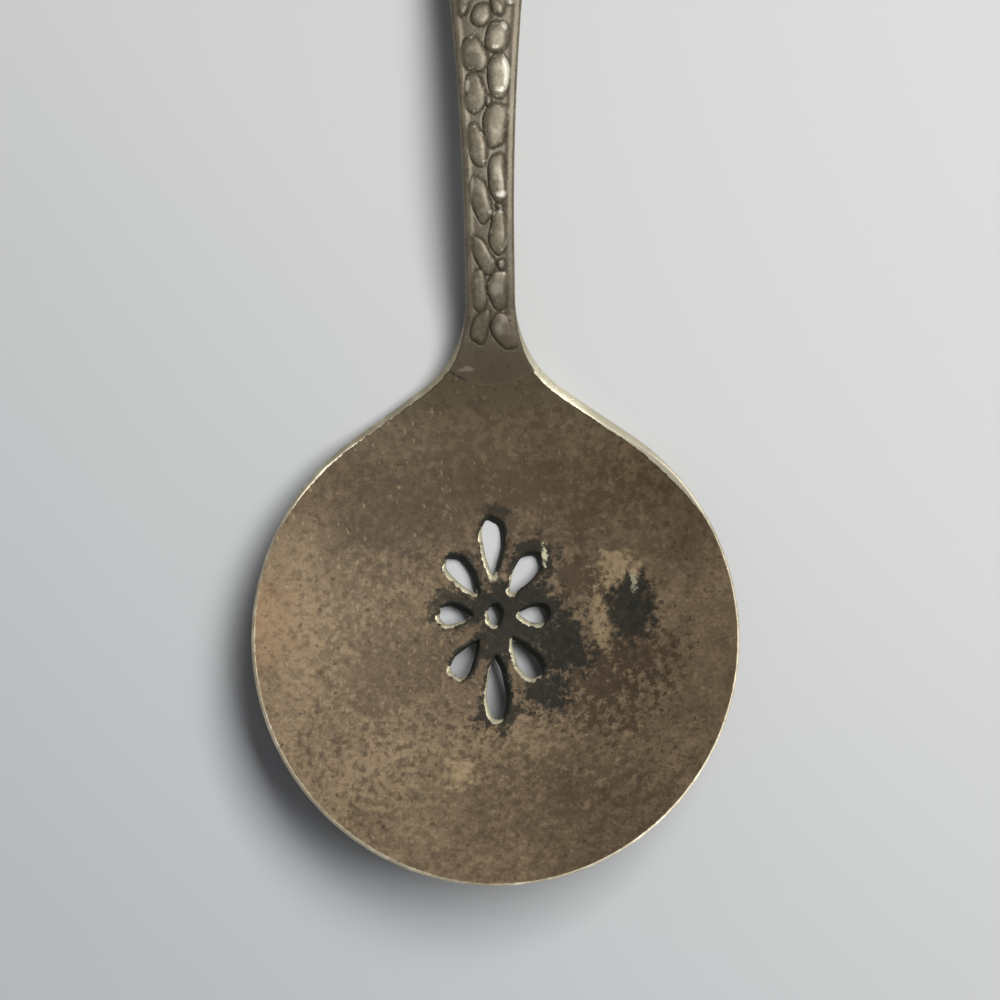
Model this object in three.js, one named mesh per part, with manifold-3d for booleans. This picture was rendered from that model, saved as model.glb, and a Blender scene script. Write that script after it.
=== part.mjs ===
// Nut spoon: a round pierced bowl, hard-soldered at the neck to a struck handle with a pebble relief.
// Millimetres, +Z up. The spoon lies bowl up on a table at z = 0 with its handle along +Y.
// The shapes are worked out with y measured from the middle of the bowl. The whole spoon is then
// shifted, so that the origin is on the table, under the middle of its length and its width.
import * as THREE from "three";
import { mergeVertices } from "three/addons/utils/BufferGeometryUtils.js";
import Module from "manifold-3d";

const wasm = await Module();
wasm.setup();

// Overall sizes
const SPOON_LENGTH = 115;
const BOWL_DIAMETER = 45;
const BOWL_DEPTH = 4.6; // from the rim, if it lay level, down to the lowest point of the inside
const BOWL_TILT = 14; // degrees that the bowl lies tipped back on its heel, with its front off the table
const BOWL_WALL = 1.1;
const DISH_POWER = 2.3; // 2 is a parabola; more leaves a flatter bottom with steeper sides
const FOOT_WEAR = 0.25; // taken off the underside where the bowl's heel stands on a table

// Plan of the shoulders, the stem and the end of the handle
const SHOULDER_ANGLE = 35; // degrees from the handle's line to where the shoulder leaves the round
const SHOULDER_FILLET = 10.1; // radius of the hollow curve from the shoulder into the stem
const STEM_WIDTH = 4.6; // at its narrowest
const STEM_LENGTH = 4.9; // the stretch that keeps that width
const END_WIDTH = 13.8; // diameter of the round end
const END_FLARE = 10; // degrees that the sides lean outwards where they meet the round end

// Side view
const NECK_ANGLE = 27; // degrees that the neck climbs as it leaves the rim
const NECK_BLEND_INSIDE = 6.8; // the dish starts to turn into the neck this far inside the rim
const NECK_BLEND_OUTSIDE = 5.6; // and has become the neck this far outside it
const ARCH_HEIGHT = 7.5; // highest point of the top face above the table
const ARCH_DISTANCE = 21.5; // from the rim along the handle to that point
const TIP_ANGLE = 10; // degrees that the end still points down
const NECK_THICKNESS = 2.1;
const END_THICKNESS = 1.6;
const TIP_WEAR = 0.15; // taken off the underside where the end of the handle rests
const HANDLE_CROWN = 0.3; // rise of the middle of the handle over its edges
const EDGE_THINNING = 0.35; // share by which the handle's edges are thinner than its middle

// Edges: the top edge has a bevel, widest on the shoulders, and the lower edge is rubbed off
const RIM_BEVEL = 0.3;
const SHOULDER_BEVEL = 0.7;
const SHOULDER_BEVEL_REACH = 10; // length of the spoon over which it swells, each way
const BEVEL_DROP_SHARE = 0.7; // its drop for each millimetre of its width
const LOWER_EDGE = 0.25;

// Soldered joint: the root of the handle is a round tongue let into a notch in the bowl's neck
const TONGUE_RADIUS = 6.6;
const TONGUE_REACH = 0.9; // from the bowl's circle out along the handle to the tongue's toe
const SOLDER_THICKNESS = 0.15;
const JOINT_CLEARANCE = 0.05;

// Piercing: eight petals round an oval eye, all sawn through the bottom of the bowl
const PIERCING_OFFSET = 1.75; // the eye's place, from the middle of the bowl towards the handle
const EYE = { length: 2.0, width: 1.3 };
const PETAL_TAPER = 0.42; // how much fuller the outer half of a petal is than the inner one
// Bearings are in degrees from the handle's line, clockwise from above; distances are from the eye.
const PETALS = [
  { bearing: 359, inner: 3.7, outer: 9.1, width: 1.85 },
  { bearing: 36, inner: 2.5, outer: 6.9, width: 1.95 },
  { bearing: 90, inner: 2.25, outer: 5.05, width: 1.75 },
  { bearing: 145, inner: 2.8, outer: 7.15, width: 1.95 },
  { bearing: 179, inner: 3.8, outer: 9.7, width: 1.9 },
  { bearing: 214, inner: 3.0, outer: 6.85, width: 1.75 },
  { bearing: 271, inner: 2.2, outer: 5.2, width: 1.8 },
  { bearing: 322, inner: 2.5, outer: 6.85, width: 1.8 },
];

// Pebble relief on the handle
const PEBBLE_HEIGHT = 0.42; // of a pebble over the ground between them
const GROUND_DEPTH = 0.16; // of that ground below the plain border
const GROUND_FADE = 4; // length over which the ground runs out on the neck
const BORDER_WIDTH = 0.75;
const BORDER_SLOPE = 0.3; // width of the step from the border down to the ground
// The pebbles on the stem, placed by hand. Each has its place along the handle from the end of the
// shoulder's fillet, its place across as a share of half the handle's width, its half length, its
// half width and its lean in degrees, clockwise from above.
const STEM_PEBBLES = [
  [-3.0, 0.46, 1.82, 1.05, -22],
  [-2.6, -0.36, 1.64, 0.82, 18],
  [0.8, -0.53, 1.86, 0.95, -5],
  [0.8, 0.31, 1.9, 0.91, 0],
  [3.1, 0.44, 0.5, 0.41, 0],
  [4.0, -0.3, 1.94, 0.88, -24],
  [6.0, 0.37, 2.07, 0.86, 0],
  [8.4, 0.44, 0.32, 0.36, 0],
  [9.0, -0.33, 2.16, 0.92, -14],
  [11.0, 0.35, 2.28, 0.9, -2],
  [14.0, -0.41, 2.16, 0.85, -12],
  [14.8, -0.84, 1.17, 0.27, -3],
  [15.9, 0.28, 2.16, 1.13, 8],
  [18.1, 0, 0.63, 0.32, -10],
  [18.8, -0.45, 1.89, 1.04, -5],
  [20.4, 0.38, 2.12, 1.04, 0],
  [22.4, -0.4, 1.76, 1.17, -15],
  [24.0, 0.33, 1.58, 1.08, 12],
  [26.1, -0.15, 1.09, 0.91, 0],
  [26.9, -0.73, 1.0, 0.72, 0],
  [27.0, 0.33, 0.95, 0.72, 0],
];
// Past them the pebbles lie in rows across the widening handle, neighbours staggered by half a length.
const FIRST_ROW = 30.1; // measured as the pebbles above are
const ROW_PITCH = 4.2;
const ROW_END = 2.4; // from the last row to the end of the handle
const PEBBLE_SPREAD = 2.1; // width that one pebble takes in a row
const PEBBLE_FILL = 0.94; // share of its room that a pebble in a row covers

// Worked out from the sizes above
const radians = THREE.MathUtils.degToRad;
const { clamp, lerp, mapLinear, smoothstep } = THREE.MathUtils;
const bowlRadius = BOWL_DIAMETER / 2;
const insideBottom = BOWL_WALL - FOOT_WEAR;
const tilt = Math.tan(radians(BOWL_TILT));
const heelY = bowlRadius * ((tilt * bowlRadius) / (DISH_POWER * BOWL_DEPTH)) ** (1 / (DISH_POWER - 1));
const tiltLift = tilt * heelY - BOWL_DEPTH * (heelY / bowlRadius) ** DISH_POWER;
const neckHeight = dishHeight(0, bowlRadius);
const stemHalf = STEM_WIDTH / 2;
const endRadius = END_WIDTH / 2;
const tipY = SPOON_LENGTH - bowlRadius;
const archY = bowlRadius + ARCH_DISTANCE;
const tipTop = END_THICKNESS - TIP_WEAR;
const aboveAll = ARCH_HEIGHT + insideBottom + BOWL_DEPTH + bowlRadius * tilt; // also the front of the bowl
const shoulder = shoulderPoints();
const filletEndY = shoulder.filletCentre.y;
const widthProfile = outlineStations({ bowl: 90, shoulder: 12, fillet: 24, stem: 4, flare: 60, end: 40 });
const pebbles = [...stemPebbles(), ...rowPebbles()];
const reliefStartY = Math.min(...pebbles.map((pebble) => pebble.y - pebble.halfLength));

// Where the bowl's circle, the straight shoulder and the hollow fillet meet, on the right-hand side.
function shoulderPoints() {
  const a = radians(SHOULDER_ANGLE);
  const onBowl = new THREE.Vector2(Math.sin(a), Math.cos(a)).multiplyScalar(bowlRadius);
  const filletX = stemHalf + SHOULDER_FILLET * (1 - Math.sin(a));
  const straight = (onBowl.x - filletX) / Math.cos(a);
  const onFillet = new THREE.Vector2(filletX, onBowl.y + straight * Math.sin(a));
  const filletCentre = new THREE.Vector2(
    stemHalf + SHOULDER_FILLET,
    onFillet.y + SHOULDER_FILLET * Math.cos(a),
  );
  return { onBowl, onFillet, filletCentre };
}

// The right half of the outline, from the far end of the bowl to the end of the handle, as plane curves.
function outlineCurves() {
  const a = radians(SHOULDER_ANGLE);
  const flare = radians(END_FLARE);
  const { onBowl, onFillet, filletCentre } = shoulder;
  const endCentreY = tipY - endRadius;
  const stemStart = new THREE.Vector2(stemHalf, filletCentre.y);
  const stemEnd = new THREE.Vector2(stemHalf, filletCentre.y + STEM_LENGTH);
  const onEnd = new THREE.Vector2(endRadius * Math.cos(flare), endCentreY - endRadius * Math.sin(flare));
  const flareBend = new THREE.Vector2(stemHalf, onEnd.y - (onEnd.x - stemHalf) / Math.tan(flare));
  return {
    bowl: new THREE.EllipseCurve(0, 0, bowlRadius, bowlRadius, -Math.PI / 2, Math.PI / 2 - a),
    shoulder: new THREE.LineCurve(onBowl, onFillet),
    fillet: new THREE.EllipseCurve(
      filletCentre.x,
      filletCentre.y,
      SHOULDER_FILLET,
      SHOULDER_FILLET,
      1.5 * Math.PI - a,
      Math.PI,
      true,
    ),
    stem: new THREE.LineCurve(stemStart, stemEnd),
    flare: new THREE.QuadraticBezierCurve(stemEnd, flareBend, onEnd),
    end: new THREE.EllipseCurve(0, endCentreY, endRadius, endRadius, -flare, Math.PI / 2),
  };
}

// Points along that half outline with their outward normals. steps gives the number for each curve.
function outlineStations(steps) {
  const stations = [];
  for (const [name, curve] of Object.entries(outlineCurves())) {
    for (let i = stations.length ? 1 : 0; i <= steps[name]; i++) {
      const t = i / steps[name];
      const point = curve.getPoint(t);
      const tangent = curve.getTangent(t);
      stations.push({ x: Math.max(point.x, 0), y: point.y, nx: tangent.y, ny: -tangent.x });
    }
  }
  for (const pole of [stations[0], stations.at(-1)]) {
    pole.x = 0;
    pole.nx = 0;
    pole.ny = Math.sign(pole.y);
  }
  return stations;
}

// Half the spoon's width at a distance y along it.
function halfWidthAt(y) {
  const next = widthProfile.findIndex((station) => station.y > y);
  if (next <= 0) return 0;
  const [low, high] = [widthProfile[next - 1], widthProfile[next]];
  return mapLinear(y, low.y, high.y, low.x, high.x);
}

// Height on a curve that leaves (y0, z0) with one slope and reaches (y1, z1) with another.
function easedHeight(y, y0, z0, slope0, y1, z1, slope1) {
  const span = y1 - y0;
  const t = clamp((y - y0) / span, 0, 1);
  const start = z0 * (1 + 2 * t) * (1 - t) ** 2 + slope0 * span * t * (1 - t) ** 2;
  const finish = z1 * t * t * (3 - 2 * t) + slope1 * span * t * t * (t - 1);
  return start + finish;
}

// The handle's middle line from the side: it climbs from the neck to the arch and comes down to the tip.
function handleLine(y) {
  const climb = Math.tan(radians(NECK_ANGLE));
  if (y < bowlRadius) return neckHeight + climb * (y - bowlRadius);
  if (y < archY) return easedHeight(y, bowlRadius, neckHeight, climb, archY, ARCH_HEIGHT, 0);
  return easedHeight(y, archY, ARCH_HEIGHT, 0, tipY, tipTop, -Math.tan(radians(TIP_ANGLE)));
}

// The dish alone, tipped back about its heel, which stays at the height of the table.
function dishHeight(x, y) {
  const dish = BOWL_DEPTH * (Math.hypot(x, y) / bowlRadius) ** DISH_POWER;
  return insideBottom + dish - tilt * y + tiltLift;
}

// The face without bevel or relief: a dish that flows into the handle's line over the shoulders.
function faceHeight(x, y) {
  const blend = smoothstep(y, bowlRadius - NECK_BLEND_INSIDE, bowlRadius + NECK_BLEND_OUTSIDE);
  return lerp(dishHeight(x, y), handleLine(y), blend);
}

// 0 on the bowl, 1 on the handle.
function handleShare(y) {
  return smoothstep(y, bowlRadius, filletEndY);
}

function thicknessAt(y) {
  const toNeck = smoothstep(y, bowlRadius - NECK_BLEND_INSIDE, filletEndY);
  const toEnd = smoothstep(y, filletEndY, tipY);
  return lerp(BOWL_WALL, lerp(NECK_THICKNESS, END_THICKNESS, toEnd), toNeck);
}

// 0 in the middle of the spoon's width, 1 at its edges.
function acrossSquared(x, y) {
  return Math.min(1, (x / Math.max(halfWidthAt(y), Number.EPSILON)) ** 2);
}

function topHeight(x, y) {
  const crown = HANDLE_CROWN * handleShare(y) * (1 - acrossSquared(x, y));
  return faceHeight(x, y) + crown + relief(x, y);
}

// The underside keeps its distance from the face measured square to the slope.
function undersideHeight(x, y) {
  const reach = 0.05;
  const slopeX = (faceHeight(x + reach, y) - faceHeight(x - reach, y)) / (2 * reach);
  const slopeY = (faceHeight(x, y + reach) - faceHeight(x, y - reach)) / (2 * reach);
  const thinning = 1 - EDGE_THINNING * handleShare(y) * acrossSquared(x, y);
  return faceHeight(x, y) - thicknessAt(y) * thinning * Math.hypot(1, slopeX, slopeY);
}

function bevelAt(y) {
  const distance = Math.abs(y - shoulder.onFillet.y);
  return lerp(SHOULDER_BEVEL, RIM_BEVEL, smoothstep(distance, 0, SHOULDER_BEVEL_REACH));
}

function stemPebbles() {
  return STEM_PEBBLES.map(([along, across, halfLength, halfWidth, lean]) => {
    const y = filletEndY + along;
    return { x: across * halfWidthAt(y), y, halfLength, halfWidth, lean: radians(lean) };
  });
}

// Each row holds as many pebbles as fit, and small regular waves keep any two from being alike.
function rowPebbles() {
  const laid = [];
  const lastY = tipY - ROW_END;
  for (let row = 0, y = filletEndY + FIRST_ROW; y < lastY; row++, y += ROW_PITCH) {
    const room = 2 * (halfWidthAt(y) - BORDER_WIDTH);
    const count = Math.max(1, Math.round(room / PEBBLE_SPREAD));
    for (let i = 0; i < count; i++) {
      const wave = Math.sin(5.1 * row + 2.7 * i);
      const stagger = i % 2 ? 0.25 : -0.25;
      laid.push({
        x: ((i + 0.5) / count - 0.5) * room,
        y: y + ROW_PITCH * (stagger + 0.1 * wave),
        halfLength: (ROW_PITCH / 2) * PEBBLE_FILL * (1 + 0.08 * wave),
        halfWidth: (room / count / 2) * PEBBLE_FILL * (1 - 0.08 * wave),
        lean: radians(10 * Math.sin(3.3 * row + 1.9 * i)),
      });
    }
  }
  return laid;
}

// Height of the relief over the plain face of the handle: plump pebbles on a ground inside a border.
function relief(x, y) {
  if (y < reliefStartY) return 0;
  const room = halfWidthAt(y) - Math.abs(x) - BORDER_WIDTH;
  const field = smoothstep(room, -BORDER_SLOPE / 2, BORDER_SLOPE / 2);
  const ground = GROUND_DEPTH * smoothstep(y, reliefStartY, reliefStartY + GROUND_FADE);
  let highest = 0;
  for (const pebble of pebbles) {
    const [dx, dy] = [x - pebble.x, y - pebble.y];
    const along = (dy * Math.cos(pebble.lean) + dx * Math.sin(pebble.lean)) / pebble.halfLength;
    const across = (dx * Math.cos(pebble.lean) - dy * Math.sin(pebble.lean)) / pebble.halfWidth;
    const edge = (along * along + across * across) ** 1.4;
    if (edge < 1) highest = Math.max(highest, PEBBLE_HEIGHT * Math.sqrt(1 - edge));
  }
  return (highest - ground) * field;
}

// One section of the spoon as a loop of points: the face from left to right, the right edge,
// the underside from right to left and the left edge.
function sectionLoop(station, faceColumns, undersideColumns) {
  const bevel = bevelAt(station.y);
  const faceX = Math.max(station.x - bevel * station.nx, 0);
  const faceY = station.y - bevel * station.ny;
  const lowX = Math.max(station.x - LOWER_EDGE * station.nx, 0);
  const lowY = station.y - LOWER_EDGE * station.ny;
  const upperEdge = faceHeight(station.x, station.y) - bevel * BEVEL_DROP_SHARE;
  const lowerEdge = undersideHeight(station.x, station.y) + LOWER_EDGE;
  const loop = [];
  for (let i = 0; i <= faceColumns; i++) {
    const x = faceX * ((2 * i) / faceColumns - 1);
    loop.push(new THREE.Vector3(x, faceY, topHeight(x, faceY)));
  }
  loop.push(new THREE.Vector3(station.x, station.y, upperEdge));
  loop.push(new THREE.Vector3(station.x, station.y, lowerEdge));
  for (let i = 0; i <= undersideColumns; i++) {
    const x = lowX * (1 - (2 * i) / undersideColumns);
    loop.push(new THREE.Vector3(x, lowY, undersideHeight(x, lowY)));
  }
  loop.push(new THREE.Vector3(-station.x, station.y, lowerEdge));
  loop.push(new THREE.Vector3(-station.x, station.y, upperEdge));
  return loop;
}

// The whole spoon as one closed skin through the sections at the stations.
function spoonSkin(steps, faceColumns, undersideColumns) {
  const loops = outlineStations(steps).map((s) => sectionLoop(s, faceColumns, undersideColumns));
  const size = loops[0].length;
  const faces = [];
  for (let row = 0; row + 1 < loops.length; row++) {
    for (let i = 0; i < size; i++) {
      const [a, b] = [row * size + i, row * size + ((i + 1) % size)];
      faces.push(a, b, b + size, a, b + size, a + size);
    }
  }
  const geometry = new THREE.BufferGeometry().setFromPoints(loops.flat());
  geometry.setIndex(faces);
  return geometry;
}

// A closed mesh as a solid. Triangles that have shrunk to nothing at the ends of the spoon are left out.
function solidOf(geometry) {
  const bare = geometry.clone();
  bare.deleteAttribute("normal");
  bare.deleteAttribute("uv");
  const merged = mergeVertices(bare, 1e-5);
  const index = merged.index.array;
  const kept = [];
  for (let i = 0; i < index.length; i += 3) {
    const [a, b, c] = index.slice(i, i + 3);
    if (a !== b && b !== c && c !== a) kept.push(a, b, c);
  }
  return new wasm.Manifold(
    new wasm.Mesh({
      numProp: 3,
      vertProperties: merged.attributes.position.array,
      triVerts: new Uint32Array(kept),
    }),
  );
}

function geometryOf(solid) {
  const mesh = solid.getMesh();
  const geometry = new THREE.BufferGeometry();
  geometry.setAttribute("position", new THREE.BufferAttribute(mesh.vertProperties, 3));
  geometry.setIndex(new THREE.BufferAttribute(mesh.triVerts, 1));
  geometry.computeVertexNormals();
  return geometry;
}

// A plan shape as an upright cutter that passes through the whole spoon.
function uprightCutter(shape) {
  const geometry = new THREE.ExtrudeGeometry(shape, {
    depth: 2 * aboveAll,
    bevelEnabled: false,
    curveSegments: 32,
  });
  return solidOf(geometry.translate(0, 0, -aboveAll));
}

// An egg-shaped outline along +Y, with its middle at distance middle and its fuller end outwards.
function eggShape(middle, length, width, taper) {
  const steps = 24;
  const points = [];
  for (let i = 0; i < steps; i++) {
    const a = (2 * Math.PI * i) / steps;
    const x = (width / 2) * Math.cos(a) * (1 + taper * Math.sin(a));
    points.push(new THREE.Vector2(x, middle + (length / 2) * Math.sin(a)));
  }
  return new THREE.Shape(points);
}

function piercingCutters() {
  const eye = uprightCutter(eggShape(0, EYE.length, EYE.width, 0));
  const petals = PETALS.map(({ bearing, inner, outer, width }) => {
    const shape = eggShape((inner + outer) / 2, outer - inner, width, PETAL_TAPER);
    return uprightCutter(shape).rotate([0, 0, -bearing]);
  });
  return [eye, ...petals].map((cutter) => cutter.translate([0, PIERCING_OFFSET, 0]));
}

// Everything on the handle's side of a round seam: the tongue, which this margin makes larger,
// and all beyond it.
function handleSide(margin) {
  const centreY = bowlRadius + TONGUE_REACH + TONGUE_RADIUS;
  const shape = new THREE.Shape();
  shape.absarc(0, centreY, TONGUE_RADIUS + margin, Math.PI, 2 * Math.PI, false);
  shape.lineTo(BOWL_DIAMETER, centreY);
  shape.lineTo(BOWL_DIAMETER, SPOON_LENGTH);
  shape.lineTo(-BOWL_DIAMETER, SPOON_LENGTH);
  shape.lineTo(-BOWL_DIAMETER, centreY);
  return uprightCutter(shape);
}

// The table, which has worn a flat on whatever stands on it.
function tableSlab() {
  const slab = new THREE.BoxGeometry(2 * SPOON_LENGTH, 2 * SPOON_LENGTH, aboveAll);
  return solidOf(slab.translate(0, 0, -aboveAll / 2));
}

const tarnishedBowl = new THREE.MeshStandardMaterial({ color: 0x7c6a55, roughness: 0.5, metalness: 0.85 });
const tarnishedHandle = new THREE.MeshStandardMaterial({ color: 0x736a5a, roughness: 0.42, metalness: 0.9 });
const darkSolder = new THREE.MeshStandardMaterial({ color: 0x4f4a3c, roughness: 0.6, metalness: 0.7 });

function namedMesh(name, solid, material) {
  const mesh = new THREE.Mesh(geometryOf(solid), material);
  mesh.name = name;
  return mesh;
}

// Each piece comes from a skin that is fine where the piece is and coarse elsewhere.
const bowlSkin = { bowl: 36, shoulder: 5, fillet: 10, stem: 1, flare: 2, end: 3 };
const handleSkin = { bowl: 4, shoulder: 2, fillet: 14, stem: 12, flare: 76, end: 14 };
const bowlBlank = solidOf(spoonSkin(bowlSkin, 26, 20)).subtract(tableSlab());
const handleBlank = solidOf(spoonSkin(handleSkin, 22, 6)).subtract(tableSlab());

const solderOuter = JOINT_CLEARANCE + SOLDER_THICKNESS;
const notch = handleSide(solderOuter + JOINT_CLEARANCE);
const bowl = piercingCutters().reduce((solid, cutter) => solid.subtract(cutter), bowlBlank.subtract(notch));
const handle = handleBlank.intersect(handleSide(0));
const solder = bowlBlank.intersect(handleSide(solderOuter)).subtract(handleSide(JOINT_CLEARANCE));

const spoon = new THREE.Group();
spoon.name = "nut_spoon";
spoon.position.y = bowlRadius - SPOON_LENGTH / 2;
spoon.add(namedMesh("bowl", bowl, tarnishedBowl));
spoon.add(namedMesh("handle", handle, tarnishedHandle));
spoon.add(namedMesh("solder_seam", solder, darkSolder));

export default spoon;
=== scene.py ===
"""Nut spoon: the finished look of the pierced bowl, the pebbled handle and the solder between them.

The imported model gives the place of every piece. Shapes are worked out in millimetres with y measured
from the middle of the bowl, as the spoon's drawing is, and moved into the scene's metres at the end.
"""

import logging
import math
from dataclasses import dataclass, field
from enum import Enum
from functools import cached_property
from typing import ClassVar

import bpy
import numpy as np
from mathutils import Matrix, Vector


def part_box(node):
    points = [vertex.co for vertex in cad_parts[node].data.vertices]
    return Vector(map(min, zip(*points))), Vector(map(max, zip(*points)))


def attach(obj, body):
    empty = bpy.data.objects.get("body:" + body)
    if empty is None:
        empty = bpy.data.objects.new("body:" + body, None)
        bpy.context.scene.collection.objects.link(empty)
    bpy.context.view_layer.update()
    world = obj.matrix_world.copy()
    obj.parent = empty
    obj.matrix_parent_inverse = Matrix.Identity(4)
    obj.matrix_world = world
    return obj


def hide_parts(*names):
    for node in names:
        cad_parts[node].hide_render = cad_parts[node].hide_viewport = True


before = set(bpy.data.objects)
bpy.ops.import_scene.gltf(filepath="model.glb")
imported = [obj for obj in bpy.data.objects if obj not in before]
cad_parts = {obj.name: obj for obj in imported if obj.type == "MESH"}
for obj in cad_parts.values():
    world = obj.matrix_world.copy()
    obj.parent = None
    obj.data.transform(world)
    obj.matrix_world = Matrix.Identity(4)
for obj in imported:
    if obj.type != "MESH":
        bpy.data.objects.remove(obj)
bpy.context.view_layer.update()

Array = np.ndarray
Socket = bpy.types.NodeSocket
Value = float | tuple | Socket
Pair = tuple[float, float]
Triple = tuple[float, float, float]
Quad = tuple[float, float, float, float]
Piece = bpy.types.Object
Material = bpy.types.Material
Node = bpy.types.Node
Tree = bpy.types.NodeTree

MM = 0.001
BODY = "root"
SMOOTH_ANGLE = math.radians(32)
MERGE_DISTANCE = 0.0005
EXTRUDE_STEP = 50.0
EDGE_STEPS = 900
SURVEY_BATCH = 2000
FAR = 9.0
FACE_FADE = 0.1
DULL_IOR = 1.3
GRIME_LINE = 0.75
TARNISH_HEIGHTS = (0.3, 0.8)
EDGE_TONE = {"scale": 0.5, "detail": 4.0, "rough": 0.6}

log = logging.getLogger("nut_spoon")


class Stretch(Enum):
    """The stretches of the spoon's edge, from the far end of the bowl to the end of the handle."""

    BOWL = "bowl"
    SHOULDER = "shoulder"
    FILLET = "fillet"
    STEM = "stem"
    FLARE = "flare"
    END = "end"


class Cut(Enum):
    """What a cutter does to the piece it is used on."""

    TAKE_AWAY = "DIFFERENCE"
    KEEP = "INTERSECT"


def smoothstep(value: Array, low: float, high: float) -> Array:
    """A smooth step from 0 at low to 1 at high."""
    t = np.clip((value - low) / (high - low), 0, 1)
    return t * t * (3 - 2 * t)


def lerp(a: Array, b: Array, share: Array) -> Array:
    """The value that lies the given share of the way from a to b."""
    return a + (b - a) * share


def ripple(x: Array, y: Array, waves: tuple[tuple, ...]) -> Array:
    """The sum of several waves, each given by its height, its pace along x and y and its phase."""
    return sum(height * np.sin(across * x + along * y + phase) for height, across, along, phase in waves)


def eased(y: Array, start: tuple, finish: tuple) -> Array:
    """Height on a curve between two points with a given slope at each.

    Args:
        y: Distances along the spoon.
        start: Distance, height and slope where the curve starts.
        finish: Distance, height and slope where it ends.

    Returns:
        The heights at y, held at the ends outside the curve.
    """
    y0, z0, slope0 = start
    y1, z1, slope1 = finish
    span = y1 - y0
    t = np.clip((y - y0) / span, 0, 1)
    first = z0 * (1 + 2 * t) * (1 - t) ** 2 + slope0 * span * t * (1 - t) ** 2
    return first + z1 * t * t * (3 - 2 * t) + slope1 * span * t * t * (t - 1)


@dataclass(frozen=True)
class Edge:
    """Points along an edge of the spoon, each with the direction that faces outwards."""

    x: Array
    y: Array
    nx: Array
    ny: Array

    def inset(self, distance: Array) -> tuple[Array, Array]:
        """The points moved inwards by a distance."""
        return self.x - distance * self.nx, self.y - distance * self.ny

    def then(self, other: "Edge") -> "Edge":
        """This edge followed by another, whose first point it already has."""
        names = ("x", "y", "nx", "ny")
        return Edge(*(np.append(getattr(self, n), getattr(other, n)[1:]) for n in names))

    def part(self, wanted: Array) -> "Edge":
        """The points that a mask or a slice picks out."""
        return Edge(self.x[wanted], self.y[wanted], self.nx[wanted], self.ny[wanted])

    def mirrored(self) -> "Edge":
        """The same edge on the left-hand side, run the other way."""
        return Edge(-self.x[::-1], self.y[::-1], -self.nx[::-1], self.ny[::-1])


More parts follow.
